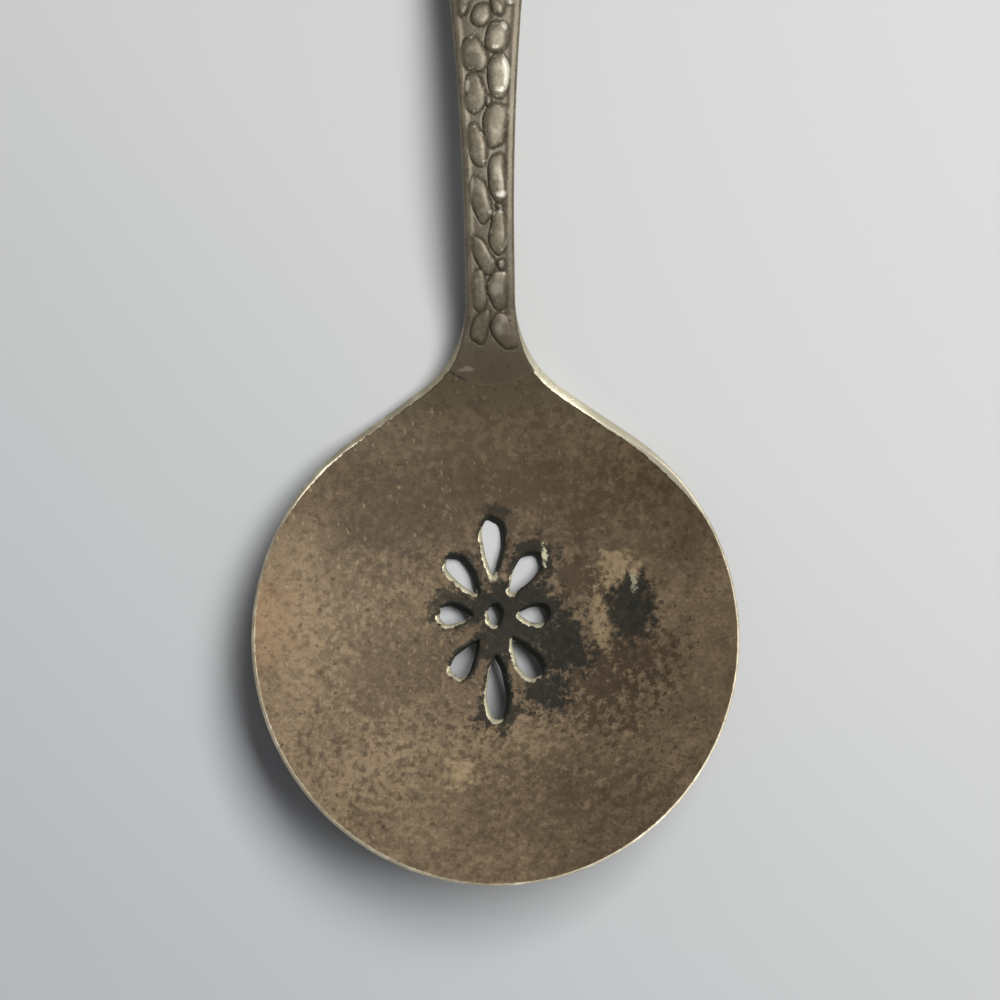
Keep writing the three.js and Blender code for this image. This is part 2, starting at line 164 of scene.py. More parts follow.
@dataclass(frozen=True)
class SpoonForm:
    """The spoon's sizes in millimetres and the plain shape that they give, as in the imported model."""

    bowl_radius: float = 22.49
    inside_bottom: float = 0.85
    bowl_depth: float = 4.6
    bowl_tilt: float = 14.0
    dish_power: float = 2.3
    bowl_wall: float = 1.1
    shoulder_angle: float = 35.0
    fillet_radius: float = 10.1
    stem_half: float = 2.3
    stem_length: float = 4.9
    end_radius: float = 6.9
    end_flare: float = 10.0
    tip_y: float = 92.5
    tip_top: float = 1.45
    tip_angle: float = 10.0
    neck_angle: float = 27.0
    neck_inside: float = 6.8
    neck_outside: float = 5.6
    arch_height: float = 7.5
    arch_distance: float = 21.5
    neck_thickness: float = 2.1
    end_thickness: float = 1.6
    crown: float = 0.3
    edge_thinning: float = 0.35
    rim_bevel: float = 0.25
    shoulder_bevel: float = 0.68
    bevel_reach: float = 10.0
    bevel_drop: float = 0.7
    lower_edge: float = 0.25
    bevel_lean: Pair = (-0.05, 0.11)
    bevel_side: float = 5.0
    bevel_waves: tuple[tuple, ...] = ((0.05, 1.0, 1.7, 0.0), (0.02, -3.0, 4.3, 1.0))
    face_waves: tuple[tuple, ...] = (
        (0.012, 0.9, 0.5, 0.0),
        (0.012, -0.6, 0.7, 1.3),
        (0.0084, 1.7, -0.4, 2.1),
        (0.006, 1.1, 1.3, 0.4),
    )
    flare_spacing: float = 1.25
    foot_blend: float = 0.02
    slope_reach: float = 0.05
    allowance: float = 0.065

    @cached_property
    def tilt(self) -> float:
        """Slope at which the bowl lies tipped back on its heel."""
        return math.tan(math.radians(self.bowl_tilt))

    @cached_property
    def lift(self) -> float:
        """How far the middle of the bowl is off the table because its heel is the lowest point."""
        share = self.tilt * self.bowl_radius / (self.dish_power * self.bowl_depth)
        heel = share ** (1 / (self.dish_power - 1))
        return self.tilt * self.bowl_radius * heel - self.bowl_depth * heel**self.dish_power

    def dish(self, x: Array, y: Array) -> Array:
        """Height of the tipped dish alone."""
        rise = self.bowl_depth * (np.hypot(x, y) / self.bowl_radius) ** self.dish_power
        return self.inside_bottom + rise - self.tilt * y + self.lift

    @cached_property
    def shoulder_points(self) -> tuple[tuple, tuple, tuple]:
        """Where the right shoulder leaves the bowl and meets the fillet, and the fillet's centre."""
        a = math.radians(self.shoulder_angle)
        on_bowl = (self.bowl_radius * math.sin(a), self.bowl_radius * math.cos(a))
        fillet_x = self.stem_half + self.fillet_radius * (1 - math.sin(a))
        straight = (on_bowl[0] - fillet_x) / math.cos(a)
        on_fillet = (fillet_x, on_bowl[1] + straight * math.sin(a))
        centre = (self.stem_half + self.fillet_radius, on_fillet[1] + self.fillet_radius * math.cos(a))
        return on_bowl, on_fillet, centre

    @property
    def fillet_end(self) -> float:
        """Distance along the spoon at which the shoulder has become the stem."""
        return self.shoulder_points[2][1]

    def stretch(self, name: Stretch, steps: int) -> Edge:
        """One stretch of the right-hand edge.

        Args:
            name: The stretch wanted.
            steps: Number of spaces between its points.

        Returns:
            The points from the bowl's side to the handle's side.
        """
        t = np.linspace(0, 1, steps + 1)
        turn = math.radians(self.shoulder_angle)
        flare = math.radians(self.end_flare)
        on_bowl, on_fillet, centre = self.shoulder_points
        end_y = self.tip_y - self.end_radius
        end_start = (self.end_radius * math.cos(flare), end_y - self.end_radius * math.sin(flare))
        if name is Stretch.BOWL:
            a = lerp(-math.pi / 2, math.pi / 2 - turn, t)
            return Edge(self.bowl_radius * np.cos(a), self.bowl_radius * np.sin(a), np.cos(a), np.sin(a))
        if name is Stretch.SHOULDER:
            x, y = lerp(on_bowl[0], on_fillet[0], t), lerp(on_bowl[1], on_fillet[1], t)
            return Edge(x, y, np.full_like(t, math.sin(turn)), np.full_like(t, math.cos(turn)))
        if name is Stretch.FILLET:
            a = lerp(1.5 * math.pi - turn, math.pi, t)
            x, y = centre[0] + self.fillet_radius * np.cos(a), centre[1] + self.fillet_radius * np.sin(a)
            return Edge(x, y, -np.cos(a), -np.sin(a))
        if name is Stretch.STEM:
            y = centre[1] + self.stem_length * t
            return Edge(np.full_like(t, self.stem_half), y, np.ones_like(t), np.zeros_like(t))
        if name is Stretch.FLARE:
            t = t**self.flare_spacing
            start = (self.stem_half, centre[1] + self.stem_length)
            bend = (self.stem_half, end_start[1] - (end_start[0] - self.stem_half) / math.tan(flare))
            x, y = (
                (1 - t) ** 2 * start[i] + 2 * t * (1 - t) * bend[i] + t * t * end_start[i] for i in (0, 1)
            )
            dx, dy = (lerp(bend[i] - start[i], end_start[i] - bend[i], t) for i in (0, 1))
            length = np.hypot(dx, dy)
            return Edge(x, y, dy / length, -dx / length)
        a = lerp(-flare, math.pi / 2, t)
        return Edge(self.end_radius * np.cos(a), end_y + self.end_radius * np.sin(a), np.cos(a), np.sin(a))

    def run(self, steps: dict[Stretch, int]) -> Edge:
        """Several stretches of the right-hand edge, one after another."""
        parts = [self.stretch(name, count) for name, count in steps.items()]
        whole = parts[0]
        for part in parts[1:]:
            whole = whole.then(part)
        return whole

    @cached_property
    def right_edge(self) -> Edge:
        """The whole right-hand edge in fine steps."""
        return self.run({name: EDGE_STEPS for name in Stretch})

    def half_width(self, y: Array) -> Array:
        """Half the spoon's width at a distance along it."""
        return np.interp(y, self.right_edge.y, self.right_edge.x)

    def handle_line(self, y: Array) -> Array:
        """Height of the handle's middle line: up from the neck to the arch and down to the end."""
        climb = math.tan(math.radians(self.neck_angle))
        neck = (self.bowl_radius, float(self.dish(0, self.bowl_radius)), climb)
        arch = (self.bowl_radius + self.arch_distance, self.arch_height, 0.0)
        tip = (self.tip_y, self.tip_top, -math.tan(math.radians(self.tip_angle)))
        rising = np.where(y < neck[0], neck[1] + climb * (y - neck[0]), eased(y, neck, arch))
        return np.where(y < arch[0], rising, eased(y, arch, tip))

    def face(self, x: Array, y: Array) -> Array:
        """Height of the plain face: a dish that flows into the handle's line."""
        blend = smoothstep(y, self.bowl_radius - self.neck_inside, self.bowl_radius + self.neck_outside)
        return lerp(self.dish(x, y), self.handle_line(y), blend)

    def across(self, x: Array, y: Array) -> Array:
        """0 in the middle of the width and 1 at the edges, squared."""
        return np.minimum(1, (x / np.maximum(self.half_width(y), 1e-6)) ** 2)

    def handle_share(self, y: Array) -> Array:
        """0 on the bowl and 1 on the handle."""
        return smoothstep(y, self.bowl_radius, self.fillet_end)

    def top(self, x: Array, y: Array) -> Array:
        """Height of the face with the handle's crown and the slight unevenness of worked metal."""
        crown = self.crown * self.handle_share(y) * (1 - self.across(x, y))
        return self.face(x, y) + crown + ripple(x, y, self.face_waves) - self.allowance

    def under(self, x: Array, y: Array) -> Array:
        """Height of the underside, worn flat where it stands on the table."""
        reach = self.slope_reach
        slope_x = (self.face(x + reach, y) - self.face(x - reach, y)) / (2 * reach)
        slope_y = (self.face(x, y + reach) - self.face(x, y - reach)) / (2 * reach)
        to_neck = smoothstep(y, self.bowl_radius - self.neck_inside, self.fillet_end)
        to_end = smoothstep(y, self.fillet_end, self.tip_y)
        thickness = lerp(self.bowl_wall, lerp(self.neck_thickness, self.end_thickness, to_end), to_neck)
        thickness = thickness * (1 - self.edge_thinning * self.handle_share(y) * self.across(x, y))
        plain = self.face(x, y) - thickness * np.sqrt(1 + slope_x**2 + slope_y**2)
        return 0.5 * (plain + np.sqrt(plain**2 + self.foot_blend**2))

    def bevel(self, x: Array, y: Array) -> Array:
        """Width of the worn bevel along the edge, fuller on the shoulders and on the right-hand side."""
        near = 1 - smoothstep(np.abs(y - self.shoulder_points[1][1]), 0, self.bevel_reach)
        side = np.clip(x / self.bevel_side, -1, 1)
        rim, shoulder = self.bevel_lean
        width = lerp(self.rim_bevel + rim * side, self.shoulder_bevel + shoulder * side, near)
        return width * (1 + ripple(x, y, self.bevel_waves))


@dataclass(frozen=True)
class Pebble:
    """One pebble of the relief: its middle, half length, half width and lean in radians."""

    x: float
    y: float
    half_length: float
    half_width: float
    lean: float


@dataclass(frozen=True)
class PebbleBed:
    """The pebbles struck into the handle's face.

    Each stem pebble has its place along the handle from the end of the shoulder's fillet, its place
    across as a share of half the width, its half length, half width and lean in degrees.
    """

    form: SpoonForm
    height: float = 0.37
    squareness: float = 2.35
    ground_depth: float = 0.12
    ground_fade: float = 4.0
    border: float = 0.75
    border_slope: float = 0.45
    groove_depth: float = 0.07
    groove_width: float = 0.1
    groove_end: Pair = (0.1, 0.3)
    first_row: float = 30.1
    row_pitch: float = 4.2
    row_end: float = 2.4
    spread: float = 2.1
    fill: float = 0.94
    row_stagger: float = 0.25
    row_shift: float = 0.1
    row_variety: float = 0.08
    row_lean: float = 10.0
    irregular: tuple[tuple, ...] = ((0.08, 0.8, 1.6, 0.6), (0.08, 2.1, 0.7, 2.0))
    three_lobed: float = 0.045
    five_lobed: float = 0.03
    dome_power: float = 2.8
    start_fade: float = 0.3
    stem: tuple = (
        (-3.0, 0.46, 1.82, 1.05, -22),
        (-2.6, -0.36, 1.64, 0.82, 18),
        (0.8, -0.53, 1.86, 0.95, -5),
        (0.8, 0.31, 1.9, 0.91, 0),
        (3.1, 0.44, 0.5, 0.41, 0),
        (4.0, -0.3, 1.94, 0.88, -24),
        (6.0, 0.37, 2.07, 0.86, 0),
        (8.4, 0.44, 0.32, 0.36, 0),
        (9.0, -0.33, 2.16, 0.92, -14),
        (11.0, 0.35, 2.28, 0.9, -2),
        (14.0, -0.41, 2.16, 0.85, -12),
        (14.8, -0.84, 1.17, 0.27, -3),
        (15.9, 0.28, 2.16, 1.13, 8),
        (18.1, 0, 0.63, 0.32, -10),
        (18.8, -0.45, 1.89, 1.04, -5),
        (20.4, 0.38, 2.12, 1.04, 0),
        (22.4, -0.4, 1.76, 1.17, -15),
        (24.0, 0.33, 1.58, 1.08, 12),
        (26.1, -0.15, 1.09, 0.91, 0),
        (26.9, -0.73, 1.0, 0.72, 0),
        (27.0, 0.33, 0.95, 0.72, 0),
    )

    @cached_property
    def pebbles(self) -> list[Pebble]:
        """Every pebble, those placed on the stem and then the rows on the widening handle."""
        laid = []
        for along, across, half_length, half_width, lean in self.stem:
            y = self.form.fillet_end + along
            x = across * float(self.form.half_width(y))
            laid.append(Pebble(x, y, half_length, half_width, math.radians(lean)))
        row = 0
        y = self.form.fillet_end + self.first_row
        while y < self.form.tip_y - self.row_end:
            laid += self._row(row, y)
            row += 1
            y += self.row_pitch
        return laid

    def _row(self, row: int, y: float) -> list[Pebble]:
        """The pebbles of one row, neighbours staggered and none quite like the next."""
        room = 2 * (float(self.form.half_width(y)) - self.border)
        count = max(1, round(room / self.spread))
        laid = []
        for i in range(count):
            wave = math.sin(5.1 * row + 2.7 * i)
            stagger = self.row_stagger if i % 2 else -self.row_stagger
            laid.append(
                Pebble(
                    ((i + 0.5) / count - 0.5) * room,
                    y + self.row_pitch * (stagger + self.row_shift * wave),
                    self.row_pitch / 2 * self.fill * (1 + self.row_variety * wave),
                    room / count / 2 * self.fill * (1 - self.row_variety * wave),
                    math.radians(self.row_lean * math.sin(3.3 * row + 1.9 * i)),
                )
            )
        return laid

    @cached_property
    def start(self) -> float:
        """Distance along the spoon at which the relief begins."""
        return min(p.y - p.half_length for p in self.pebbles)

    def survey(self, x: Array, y: Array) -> tuple[Array, Array, Array]:
        """Looks at the relief at many points.

        Args:
            x: Distances across the spoon.
            y: Distances along it.

        Returns:
            The height of the pebbles over the ground, the distance from the nearest pebble's outline,
            and 1 inside the plain border, falling to 0 on it.
        """
        dome = np.zeros_like(x)
        outline = np.full_like(x, FAR)
        room = self.form.half_width(y) - np.abs(x) - self.border
        sideways, lengthways = self.irregular
        x, y = x + ripple(x, y, (sideways,)), y + ripple(x, y, (lengthways,))
        power = self.squareness
        for p in self.pebbles:
            near = (np.abs(x - p.x) < p.half_length + 1) & (np.abs(y - p.y) < p.half_length + 1)
            dx, dy = x[near] - p.x, y[near] - p.y
            along = (dy * math.cos(p.lean) + dx * math.sin(p.lean)) / p.half_length
            across = (dx * math.cos(p.lean) - dy * math.sin(p.lean)) / p.half_width
            reach = (np.abs(along) ** power + np.abs(across) ** power) ** (1 / power)
            turn = np.arctan2(across, along)
            three = self.three_lobed * np.sin(3 * turn + 5 * p.y)
            five = self.five_lobed * np.sin(5 * turn + 9 * p.x)
            reach = reach * (1 + three + five)
            gap = np.abs(reach - 1) * np.hypot(dx, dy) / np.maximum(reach, 1e-6)
            rise = self.height * np.sqrt(np.clip(1 - reach**self.dome_power, 0, 1))
            dome[near] = np.maximum(dome[near], rise)
            outline[near] = np.minimum(outline[near], gap)
        inside = smoothstep(room, -self.border_slope / 2, self.border_slope / 2)
        inside = inside * smoothstep(y, self.start - self.start_fade, self.start)
        return dome, outline, inside

    def relief(self, x: Array, y: Array) -> Array:
        """Height of the relief over the handle's plain face."""
        dome, outline, inside = self.survey(x, y)
        ground = self.ground_depth * smoothstep(y, self.start, self.start + self.ground_fade)
        groove = self.groove_depth * np.exp(-((outline / self.groove_width) ** 2))
        groove = groove * (1 - smoothstep(dome, *self.groove_end))
        return (dome - ground - groove) * inside


@dataclass(frozen=True)
class Petal:
    """One hole: its bearing from the handle's line in degrees, its reach from the eye and its width."""

    bearing: float
    inner: float
    outer: float
    width: float
    taper: float = 0.42
    three_waves: float = 0.03
    seven_waves: float = 0.02

    def outline(self, steps: int, eye_y: float) -> Edge:
        """The hole's outline with the direction that faces away from the hole.

        Args:
            steps: Number of points.
            eye_y: Place of the eye along the spoon.

        Returns:
            The points anticlockwise from above.
        """
        a = np.arange(steps) * 2 * math.pi / steps
        three = self.three_waves * np.sin(3 * a + self.bearing)
        wobble = 1 + three + self.seven_waves * np.sin(7 * a + 2 * self.bearing)
        across = self.width / 2 * np.cos(a) * (1 + self.taper * np.sin(a)) * wobble
        along = (self.inner + self.outer) / 2 + (self.outer - self.inner) / 2 * np.sin(a) * wobble
        turn = math.radians(self.bearing)
        x = across * math.cos(turn) + along * math.sin(turn)
        y = along * math.cos(turn) - across * math.sin(turn) + eye_y
        dx, dy = np.roll(x, -1) - np.roll(x, 1), np.roll(y, -1) - np.roll(y, 1)
        length = np.hypot(dx, dy)
        return Edge(x, y, dy / length, -dx / length)


@dataclass(frozen=True)
class Piercing:
    """The rosette sawn through the bowl: an oval eye with eight petals round it."""

    form: SpoonForm
    eye_y: float = 1.75
    steps: int = 72
    lip: float = 0.2
    worn_lip: float = 0.3
    # the side that use has worn, which also faces the lamp; the finish paints the lips on this side lit
    worn_and_lit_towards: Pair = (-0.62, -0.78)
    five_waves: float = 0.16
    eleven_waves: float = 0.1
    lower_lip: float = 0.12
    saw_lean: float = 0.4
    bottom: float = -1.0
    lower_profile: tuple[tuple, ...] = ((1.3, -0.02), (0.5, 0.05), (0.0, 0.14))
    upper_profile: tuple[tuple, ...] = (
        (0.0, -0.9),
        (0.1, -0.58),
        (0.32, -0.32),
        (0.62, -0.13),
        (1.0, 0.02),
        (1.35, 0.2),
    )
    overshoot: float = 1.5
    survey_fineness: int = 4
    survey_reach: float = 3.0
    far_away: float = 5.0
    holes: tuple[Petal, ...] = (
        Petal(0, -1.0, 1.0, 1.3, 0.0),
        Petal(359, 3.7, 9.1, 1.85),
        Petal(36, 2.5, 6.9, 1.95),
        Petal(90, 2.25, 5.05, 1.75),
        Petal(145, 2.8, 7.15, 1.95),
        Petal(179, 3.8, 9.7, 1.9),
        Petal(214, 3.0, 6.85, 1.75),
        Petal(271, 2.2, 5.2, 1.8),
        Petal(322, 2.5, 6.85, 1.8),
    )

    def _lip_width(self, edge: Edge) -> Array:
        """Width of the rounded lip round a hole, fuller where wear has rubbed it down."""
        facing = np.clip(edge.nx * self.worn_and_lit_towards[0] + edge.ny * self.worn_and_lit_towards[1], 0, 1)
        turn = np.arctan2(edge.ny, edge.nx)
        five = self.five_waves * np.sin(5 * turn + edge.x)
        eleven = self.eleven_waves * np.sin(11 * turn + 2 * edge.y)
        return (self.lip + self.worn_lip * facing) * (1 + five + eleven)

    def cutter_rings(self, hole: Petal) -> Array:
        """The rings of one cutter, which give the hole its rounded upper lip and its lower one.

        Args:
            hole: The hole to cut.

        Returns:
            Ring by ring from the bottom up, the points of each ring.
        """
        edge = hole.outline(self.steps, self.eye_y)
        lip = self._lip_width(edge)
        rings = []
        for width, rise in self.lower_profile:
            x, y = edge.inset(-width * self.lower_lip)
            x, y = (v + self.saw_lean * towards for v, towards in zip((x, y), self.worn_and_lit_towards))
            rings.append(np.stack([x, y, self.form.under(x, y) + rise], 1))
        lowest = rings[0].copy()
        lowest[:, 2] = self.bottom
        rings.insert(0, lowest)
        for width, rise in self.upper_profile:
            x, y = edge.inset(-width * lip)
            rings.append(np.stack([x, y, self.form.top(x, y) + rise * lip], 1))
        rings.append(rings[-1] + np.array([0, 0, self.overshoot]))
        return np.stack(rings)

    def survey(self, x: Array, y: Array) -> tuple[Array, Array]:
        """Looks at the holes' outlines from many points.

        Args:
            x: Distances across the spoon.
            y: Distances along it.

        Returns:
            The distance from the nearest outline in millimetres, negative inside a hole, and 1 where
            the outline faces the worn and lit side, falling to 0 where it faces away.
        """
        distance = np.full_like(x, self.far_away)
        facing = np.zeros_like(x)
        for hole in self.holes:
            edge = hole.outline(self.survey_fineness * self.steps, self.eye_y)
            reach = hole.outer - hole.inner + self.survey_reach
            near = np.hypot(x - edge.x.mean(), y - edge.y.mean()) < reach
            away, index = distance_outside(x[near], y[near], edge)
            closer = away < distance[near]
            places = np.flatnonzero(near)[closer]
            distance[places] = away[closer]
            index = index[closer]
            facing[places] = edge.nx[index] * self.worn_and_lit_towards[0] + edge.ny[index] * self.worn_and_lit_towards[1]
        return distance, facing


def distance_outside(x: Array, y: Array, edge: Edge) -> tuple[Array, Array]:
    """Distance of points from an edge, with the nearest edge point of each.

    Args:
        x: Distances across the spoon.
        y: Distances along it.
        edge: The edge, in steps much finer than the distances that matter.

    Returns:
        The distance, positive on the side that the edge faces, and the nearest point's index.
    """
    index = np.empty(len(x), int)
    for start in range(0, len(x), SURVEY_BATCH):
        part = slice(start, start + SURVEY_BATCH)
        square = (x[part, None] - edge.x) ** 2 + (y[part, None] - edge.y) ** 2
        index[part] = square.argmin(1)
    dx, dy = x - edge.x[index], y - edge.y[index]
    side = dx * edge.nx[index] + dy * edge.ny[index]
    return np.copysign(np.hypot(dx, dy), side), index


class Bench:
    """The operators that every piece is made with. Pieces stay in millimetres until they are finished."""

    @staticmethod
    def clear() -> None:
        """Deselects every object."""
        bpy.ops.object.select_all(action="DESELECT")

    @staticmethod
    def take(piece: Piece) -> None:
        """Makes a piece the only selected one and the active one."""
        Bench.clear()
        piece.select_set(True)
        bpy.context.view_layer.objects.active = piece

    @staticmethod
    def number(piece: Piece) -> None:
        """Numbers the vertices in an attribute, so that copies of them can be told apart."""
        count = len(piece.data.vertices)
        attribute = piece.data.attributes.new("place", "INT", "POINT")
        attribute.data.foreach_set("value", np.arange(count, dtype=np.int32))

    @staticmethod
    def numbers(piece: Piece) -> Array:
        """Reads the numbers back."""
        values = np.empty(len(piece.data.vertices), np.int32)
        piece.data.attributes["place"].data.foreach_get("value", values)
        return values

    @staticmethod
    def points(piece: Piece) -> Array:
        """The piece's vertices, one row each."""
        values = np.empty(len(piece.data.vertices) * 3)
        piece.data.vertices.foreach_get("co", values)
        return values.reshape(-1, 3)

    @staticmethod
    def set_points(piece: Piece, points: Array) -> None:
        """Moves the piece's vertices."""
        piece.data.vertices.foreach_set("co", np.ascontiguousarray(points, float).ravel())
        piece.data.update()

    @staticmethod
    def edit(piece: Piece) -> None:
        """Opens a piece in edit mode with everything in it selected."""
        Bench.take(piece)
        bpy.ops.object.mode_set(mode="EDIT")
        bpy.ops.mesh.select_all(action="SELECT")

    @staticmethod
    def sheet_of_metal(name: str, top: Array, under: Array) -> Piece:
        """A sheet of metal between a face and an underside.

        Args:
            name: Name of the piece.
            top: Places on the face, rows by columns by 3.
            under: The places below them on the underside.

        Returns:
            The closed piece, its seam and its poles merged.
        """
        rows, columns = top.shape[:2]
        Bench.clear()
        bpy.ops.mesh.primitive_grid_add(x_subdivisions=columns - 1, y_subdivisions=rows - 1, size=1)
        piece = bpy.context.object
        piece.name = piece.data.name = name
        Bench.number(piece)
        Bench.set_points(piece, top.reshape(-1, 3))
        Bench.edit(piece)
        bpy.ops.mesh.remove_doubles(threshold=MERGE_DISTANCE)
        bpy.ops.mesh.select_all(action="SELECT")
        bpy.ops.mesh.extrude_region_move(TRANSFORM_OT_translate={"value": (0, 0, -EXTRUDE_STEP)})
        bpy.ops.object.mode_set(mode="OBJECT")
        points = Bench.points(piece)
        lower = points[:, 2] < -EXTRUDE_STEP / 2
        points[lower] = under.reshape(-1, 3)[Bench.numbers(piece)[lower]]
        Bench.set_points(piece, points)
        Bench.face_outwards(piece)
        return piece

    @staticmethod
    def lofted(name: str, rings: Array) -> Piece:
        """A closed solid through rings of points, drawn up from a filled circle.

        Args:
            name: Name of the solid.
            rings: Ring by ring from the bottom up, the points of each ring.

        Returns:
            The solid.
        """
        Bench.clear()
        bpy.ops.mesh.primitive_circle_add(vertices=rings.shape[1], radius=1, fill_type="NGON")
        solid = bpy.context.object
        solid.name = solid.data.name = name
        Bench.number(solid)
        Bench.edit(solid)
        for _ in range(len(rings) - 1):
            bpy.ops.mesh.extrude_region_move(TRANSFORM_OT_translate={"value": (0, 0, 1)})
        bpy.ops.object.mode_set(mode="OBJECT")
        level = np.round(Bench.points(solid)[:, 2]).astype(int)
        Bench.set_points(solid, rings[level, Bench.numbers(solid)])
        Bench.face_outwards(solid)
        return solid

    @staticmethod
    def joined(pieces: list[Piece]) -> Piece:
        """Joins several solids that don't touch into one object."""
        Bench.take(pieces[0])
        for piece in pieces:
            piece.select_set(True)
        bpy.ops.object.join()
        return bpy.context.object

    @staticmethod
    def face_outwards(piece: Piece) -> None:
        """Turns every face of a closed piece outwards."""
        Bench.edit(piece)
        bpy.ops.mesh.normals_make_consistent(inside=False)
        bpy.ops.object.mode_set(mode="OBJECT")

    @staticmethod
    def cut(piece: Piece, cutter: Piece, how: Cut) -> None:
        """Cuts a piece with a cutter, which is used up."""
        Bench.take(piece)
        modifier = piece.modifiers.new("cut", "BOOLEAN")
        modifier.operation = how.value
        modifier.solver = "EXACT"
        modifier.object = cutter
        bpy.ops.object.modifier_apply(modifier=modifier.name)
        bpy.data.objects.remove(cutter)

    @staticmethod
    def keep_floats(piece: Piece, **values: Array) -> None:
        """Stores a number for every vertex under each name, for the finish to read."""
        for name, numbers in values.items():
            attribute = piece.data.attributes.new(name, "FLOAT", "POINT")
            attribute.data.foreach_set("value", numbers.astype(np.float32))

    @staticmethod
    def paint(piece: Piece, material: Material) -> None:
        """Gives a piece one material all over."""
        piece.data.materials.clear()
        piece.data.materials.append(material)
        piece.data.polygons.foreach_set("material_index", np.zeros(len(piece.data.polygons), np.int32))

    @staticmethod
    def finish(piece: Piece, node: str, slot: str, shift_y: float) -> None:
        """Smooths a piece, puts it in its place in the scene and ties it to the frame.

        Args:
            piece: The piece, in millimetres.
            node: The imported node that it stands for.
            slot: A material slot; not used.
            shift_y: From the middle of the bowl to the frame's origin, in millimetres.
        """
        place = piece.data.attributes.get("place")
        if place:
            piece.data.attributes.remove(place)
        piece.data.transform(Matrix.Scale(MM, 4) @ Matrix.Translation((0, shift_y, 0)))
        Bench.take(piece)
        bpy.ops.object.shade_smooth_by_angle(angle=SMOOTH_ANGLE, keep_sharp_edges=False)
        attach(piece, BODY)
        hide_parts(node)


@dataclass(frozen=True)
class Seam:
    """The round seam between the bowl and the tongue at the root of the handle."""

    form: SpoonForm
    radius: float = 6.6
    reach: float = 0.9
    width: float = 0.25
    steps: int = 64
    past_end: float = 20.0
    heights: Pair = (-20.0, 40.0)

    def handle_side(self, margin: float) -> Piece:
        """A cutter that holds the tongue, made larger by a margin, and all beyond it."""
        middle = self.form.bowl_radius + self.reach + self.radius
        a = np.linspace(math.pi, 2 * math.pi, self.steps)
        size = self.radius + margin
        wide, far = 2 * self.form.bowl_radius, self.form.tip_y + self.past_end
        x = np.concatenate([size * np.cos(a), [wide, wide, -wide, -wide]])
        y = np.concatenate([middle + size * np.sin(a), [middle, far, far, middle]])
        rings = [np.stack([x, y, np.full_like(x, height)], 1) for height in self.heights]
        return Bench.lofted("handle_side", np.stack(rings))


@dataclass(frozen=True)
class SheetPlan:
    """How finely a sheet is divided across its bevel and how the bevel falls away."""

    bevel_shares: tuple[float, ...] = (0.0, 0.1, 0.26, 0.46, 0.68, 0.86, 1.0)
    fall_power: float = 1.25

    def bevel_fall(self, width: Array, share: float, form: SpoonForm) -> Array:
        """How far the upper bevel lies below the plain face at a share of its width from the edge."""
        return form.bevel_drop * width * (1 - share) ** self.fall_power

    def rub(self, share: float, form: SpoonForm) -> float:
        """How far the rubbed lower edge lies above the plain underside."""
        return form.lower_edge * (1 - share) ** 2


@dataclass
class RowSheet:
    """A sheet laid in rows across the spoon, for the handle and for the solder."""

    form: SpoonForm
    bed: PebbleBed
    plan: SheetPlan = field(default_factory=SheetPlan)

    def build(self, name: str, edge: Edge, columns: int) -> Piece:
        """Makes the sheet.

        Args:
            name: Name of the piece.
            edge: The right-hand edge that the rows run out to.
            columns: Spaces across the face between the bevels.

        Returns:
            The closed piece.
        """
        top = self._surface(edge, columns, upper=True)
        under = self._surface(edge, columns, upper=False)
        return Bench.sheet_of_metal(name, top, under)

    def _surface(self, edge: Edge, columns: int, upper: bool) -> Array:
        """The places on the face or on the underside, rows by columns by 3."""
        form, plan = self.form, self.plan
        left, right = [], []
        for share in plan.bevel_shares[:-1]:
            for side, store in ((-1, left), (1, right)):
                width = form.bevel(side * edge.x, edge.y) if upper else form.lower_edge
                x, y = edge.inset(share * width)
                x = side * np.maximum(x, 0)
                if upper:
                    z = form.top(x, y) + self.bed.relief(x, y) - plan.bevel_fall(width, share, form)
                else:
                    z = form.under(x, y) + plan.rub(share, form)
                store.append(np.stack([x, y, z], 1))
        middle = []
        for u in np.linspace(-1, 1, columns + 1):
            width = lerp(form.bevel(-edge.x, edge.y), form.bevel(edge.x, edge.y), (u + 1) / 2)
            x, y = edge.inset(width if upper else form.lower_edge)
            x = u * np.maximum(x, 0)
            z = form.top(x, y) + self.bed.relief(x, y) if upper else form.under(x, y)
            middle.append(np.stack([x, y, z], 1))
        return np.stack(left + middle + right[::-1], 1)


@dataclass
class Part:
    """One piece of the spoon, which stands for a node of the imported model."""

    form: SpoonForm
    seam: Seam
    node: ClassVar[str]
    slot: ClassVar[str]

    def build(self) -> Piece:
        """Makes the piece in millimetres."""
        raise NotImplementedError

    def dress(self, piece: Piece, finish: "Finish", shift_y: float) -> None:
        """Gives the piece its finish and ties it to the frame."""
        Bench.paint(piece, finish.material())
        Bench.finish(piece, self.node, self.slot, shift_y)


